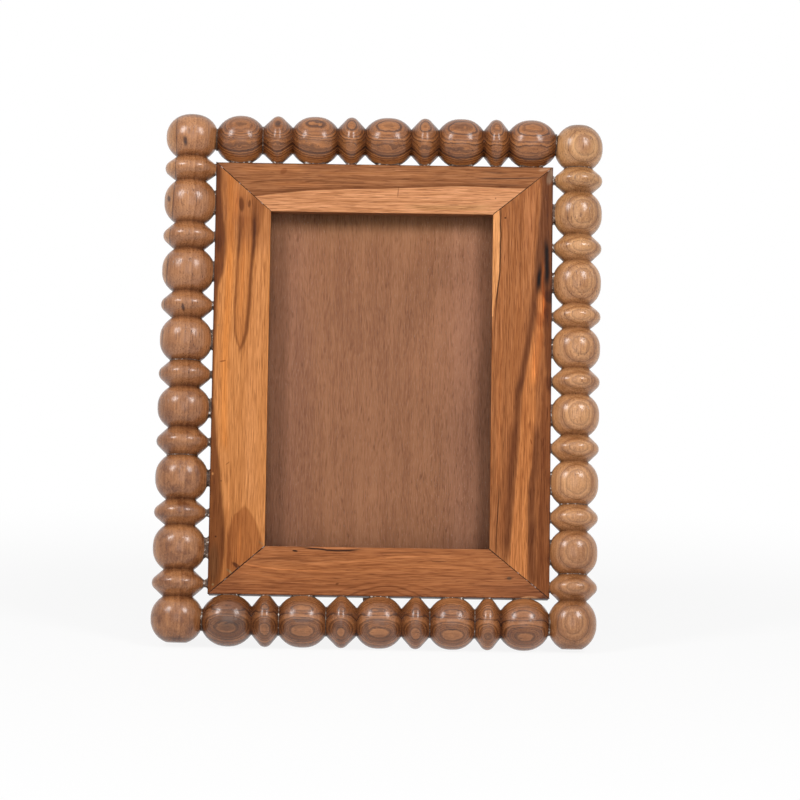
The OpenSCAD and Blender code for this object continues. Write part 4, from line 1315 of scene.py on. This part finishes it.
# The camera that took the photograph: where it stands in metres, its turn in
# degrees, and its lens and sensor in millimetres
CAMERA_PLACE, CAMERA_TURN = (0.0004648, -1.4293391, 0.2364621), (84.6871, -0.89, -0.2756)
CAMERA_LENS, CAMERA_SENSOR = 148.7, 36.0
# What the softboxes point at, in metres
MIDDLE = Vector((0, 0, 0.113))
# The floor's half width, and between which distances it turns to plain white
FLOOR_SIZE, FLOOR_FADE = 4.0, (0.15, 0.5)


class FRAME_OT_set_stage(bpy.types.Operator):
    """Makes the floor, the lamps, the surroundings and the camera"""
    bl_idname = "picture_frame.set_stage"
    bl_label = "Set the stage"

    def execute(self, context):
        looks = context.scene.frame_stage
        scene = context.scene
        mesh = bmesh.new()
        bmesh.ops.create_grid(mesh, x_segments=8, y_segments=8, size=FLOOR_SIZE)
        floor = bpy.data.objects.new("floor", finished_mesh("floor", mesh))
        scene.collection.objects.link(floor)
        material, graph = new_material("pale floor")
        place = graph.add("ShaderNodeTexCoord").outputs["Object"]
        x, y, _ = graph.add("ShaderNodeSeparateXYZ", {0: place}).outputs
        away = graph.math("SQRT", graph.plus(graph.times(x, x), graph.times(y, y)))
        plain = graph.line(graph.smooth(away, *FLOOR_FADE), 0.12, 0.88)
        diffuse = graph.add("ShaderNodeBsdfDiffuse", {"Color": tuple(looks.floor)})
        white = graph.add("ShaderNodeEmission", {"Color": (1, 1, 1), "Strength": 1.0})
        both = graph.add("ShaderNodeMixShader", {
            0: graph.times(seen_ray(graph), plain), 1: diffuse.outputs[0], 2: white.outputs[0]})
        graph.add("ShaderNodeOutputMaterial", {"Surface": both.outputs[0]})
        floor.data.materials.append(material)

        world = bpy.data.worlds.new("surroundings")
        scene.world = world
        world.use_nodes = True
        graph = Graph(world.node_tree)
        strength = graph.line(seen_ray(graph), 1 - looks.surroundings, looks.surroundings)
        sky = graph.add("ShaderNodeBackground", {"Color": (1, 1, 1), "Strength": strength})
        graph.add("ShaderNodeOutputWorld", {"Surface": sky.outputs[0]})

        # Each softbox: degrees from the front and above the floor, distance, size and power
        lamps = (("left_softbox", -50, 37, 1.2, (0.3, 0.46), looks.left_light),
                 ("right_softbox", 40, 37, 1.2, (0.3, 0.46), looks.right_light),
                 ("front_softbox", 0, 14, 1.6, (1.0, 0.9), looks.front_light),
                 ("top_softbox", 0, 60, 1.1, (0.7, 0.5), looks.top_light))
        for name, azimuth, elevation, distance, size, power in lamps:
            lamp = bpy.data.lights.new(name, "AREA")
            lamp.shape = "RECTANGLE"
            lamp.size, lamp.size_y = size
            lamp.energy = power
            thing = bpy.data.objects.new(name, lamp)
            scene.collection.objects.link(thing)
            a, e = math.radians(azimuth), math.radians(elevation)
            way = Vector((math.sin(a) * math.cos(e), -math.cos(a) * math.cos(e), math.sin(e)))
            thing.location = MIDDLE + way * distance
            thing.rotation_euler = (-way).to_track_quat("-Z", "Y").to_euler()
            thing.visible_camera = False

        camera = bpy.data.objects.new("camera", bpy.data.cameras.new("camera"))
        scene.collection.objects.link(camera)
        camera.data.sensor_width = CAMERA_SENSOR
        camera.data.lens = CAMERA_LENS
        camera.location = CAMERA_PLACE
        camera.rotation_euler = Euler([math.radians(angle) for angle in CAMERA_TURN])
        camera.data.clip_start, camera.data.clip_end = 0.05, 20.0
        scene.camera = camera
        scene.view_settings.view_transform = "Standard"
        return {"FINISHED"}


OPERATORS = (FRAME_OT_dress_rails, FRAME_OT_fill_mitres, FRAME_OT_dress_spindles,
             FRAME_OT_lay_glue, FRAME_OT_dress_back, FRAME_OT_set_stage)
SETTINGS = (("frame_rails", RailSettings), ("frame_spindles", SpindleSettings),
            ("frame_glue", GlueSettings), ("frame_back", BackSettings), ("frame_stage", StageSettings))


class FRAME_PT_panel(bpy.types.Panel):
    """The frame's settings and steps in the sidebar"""
    bl_label = "Picture Frame"
    bl_space_type = "VIEW_3D"
    bl_region_type = "UI"
    bl_category = "Picture Frame"

    def draw(self, context):
        for operator in OPERATORS:
            self.layout.operator(operator.bl_idname)
        for attribute, kind in SETTINGS:
            column = self.layout.column()
            for name in kind.__annotations__:
                column.prop(getattr(context.scene, attribute), name)


def register():
    for attribute, kind in SETTINGS:
        bpy.utils.register_class(kind)
        setattr(bpy.types.Scene, attribute, PointerProperty(type=kind))
    for kind in (*OPERATORS, FRAME_PT_panel):
        bpy.utils.register_class(kind)


def unregister():
    for kind in (FRAME_PT_panel, *reversed(OPERATORS)):
        bpy.utils.unregister_class(kind)
    for attribute, kind in reversed(SETTINGS):
        delattr(bpy.types.Scene, attribute)
        bpy.utils.unregister_class(kind)


def main():
    register()
    for operator in OPERATORS:
        group, name = operator.bl_idname.split(".")
        getattr(getattr(bpy.ops, group), name)()


if __name__ == "__main__":
    main()
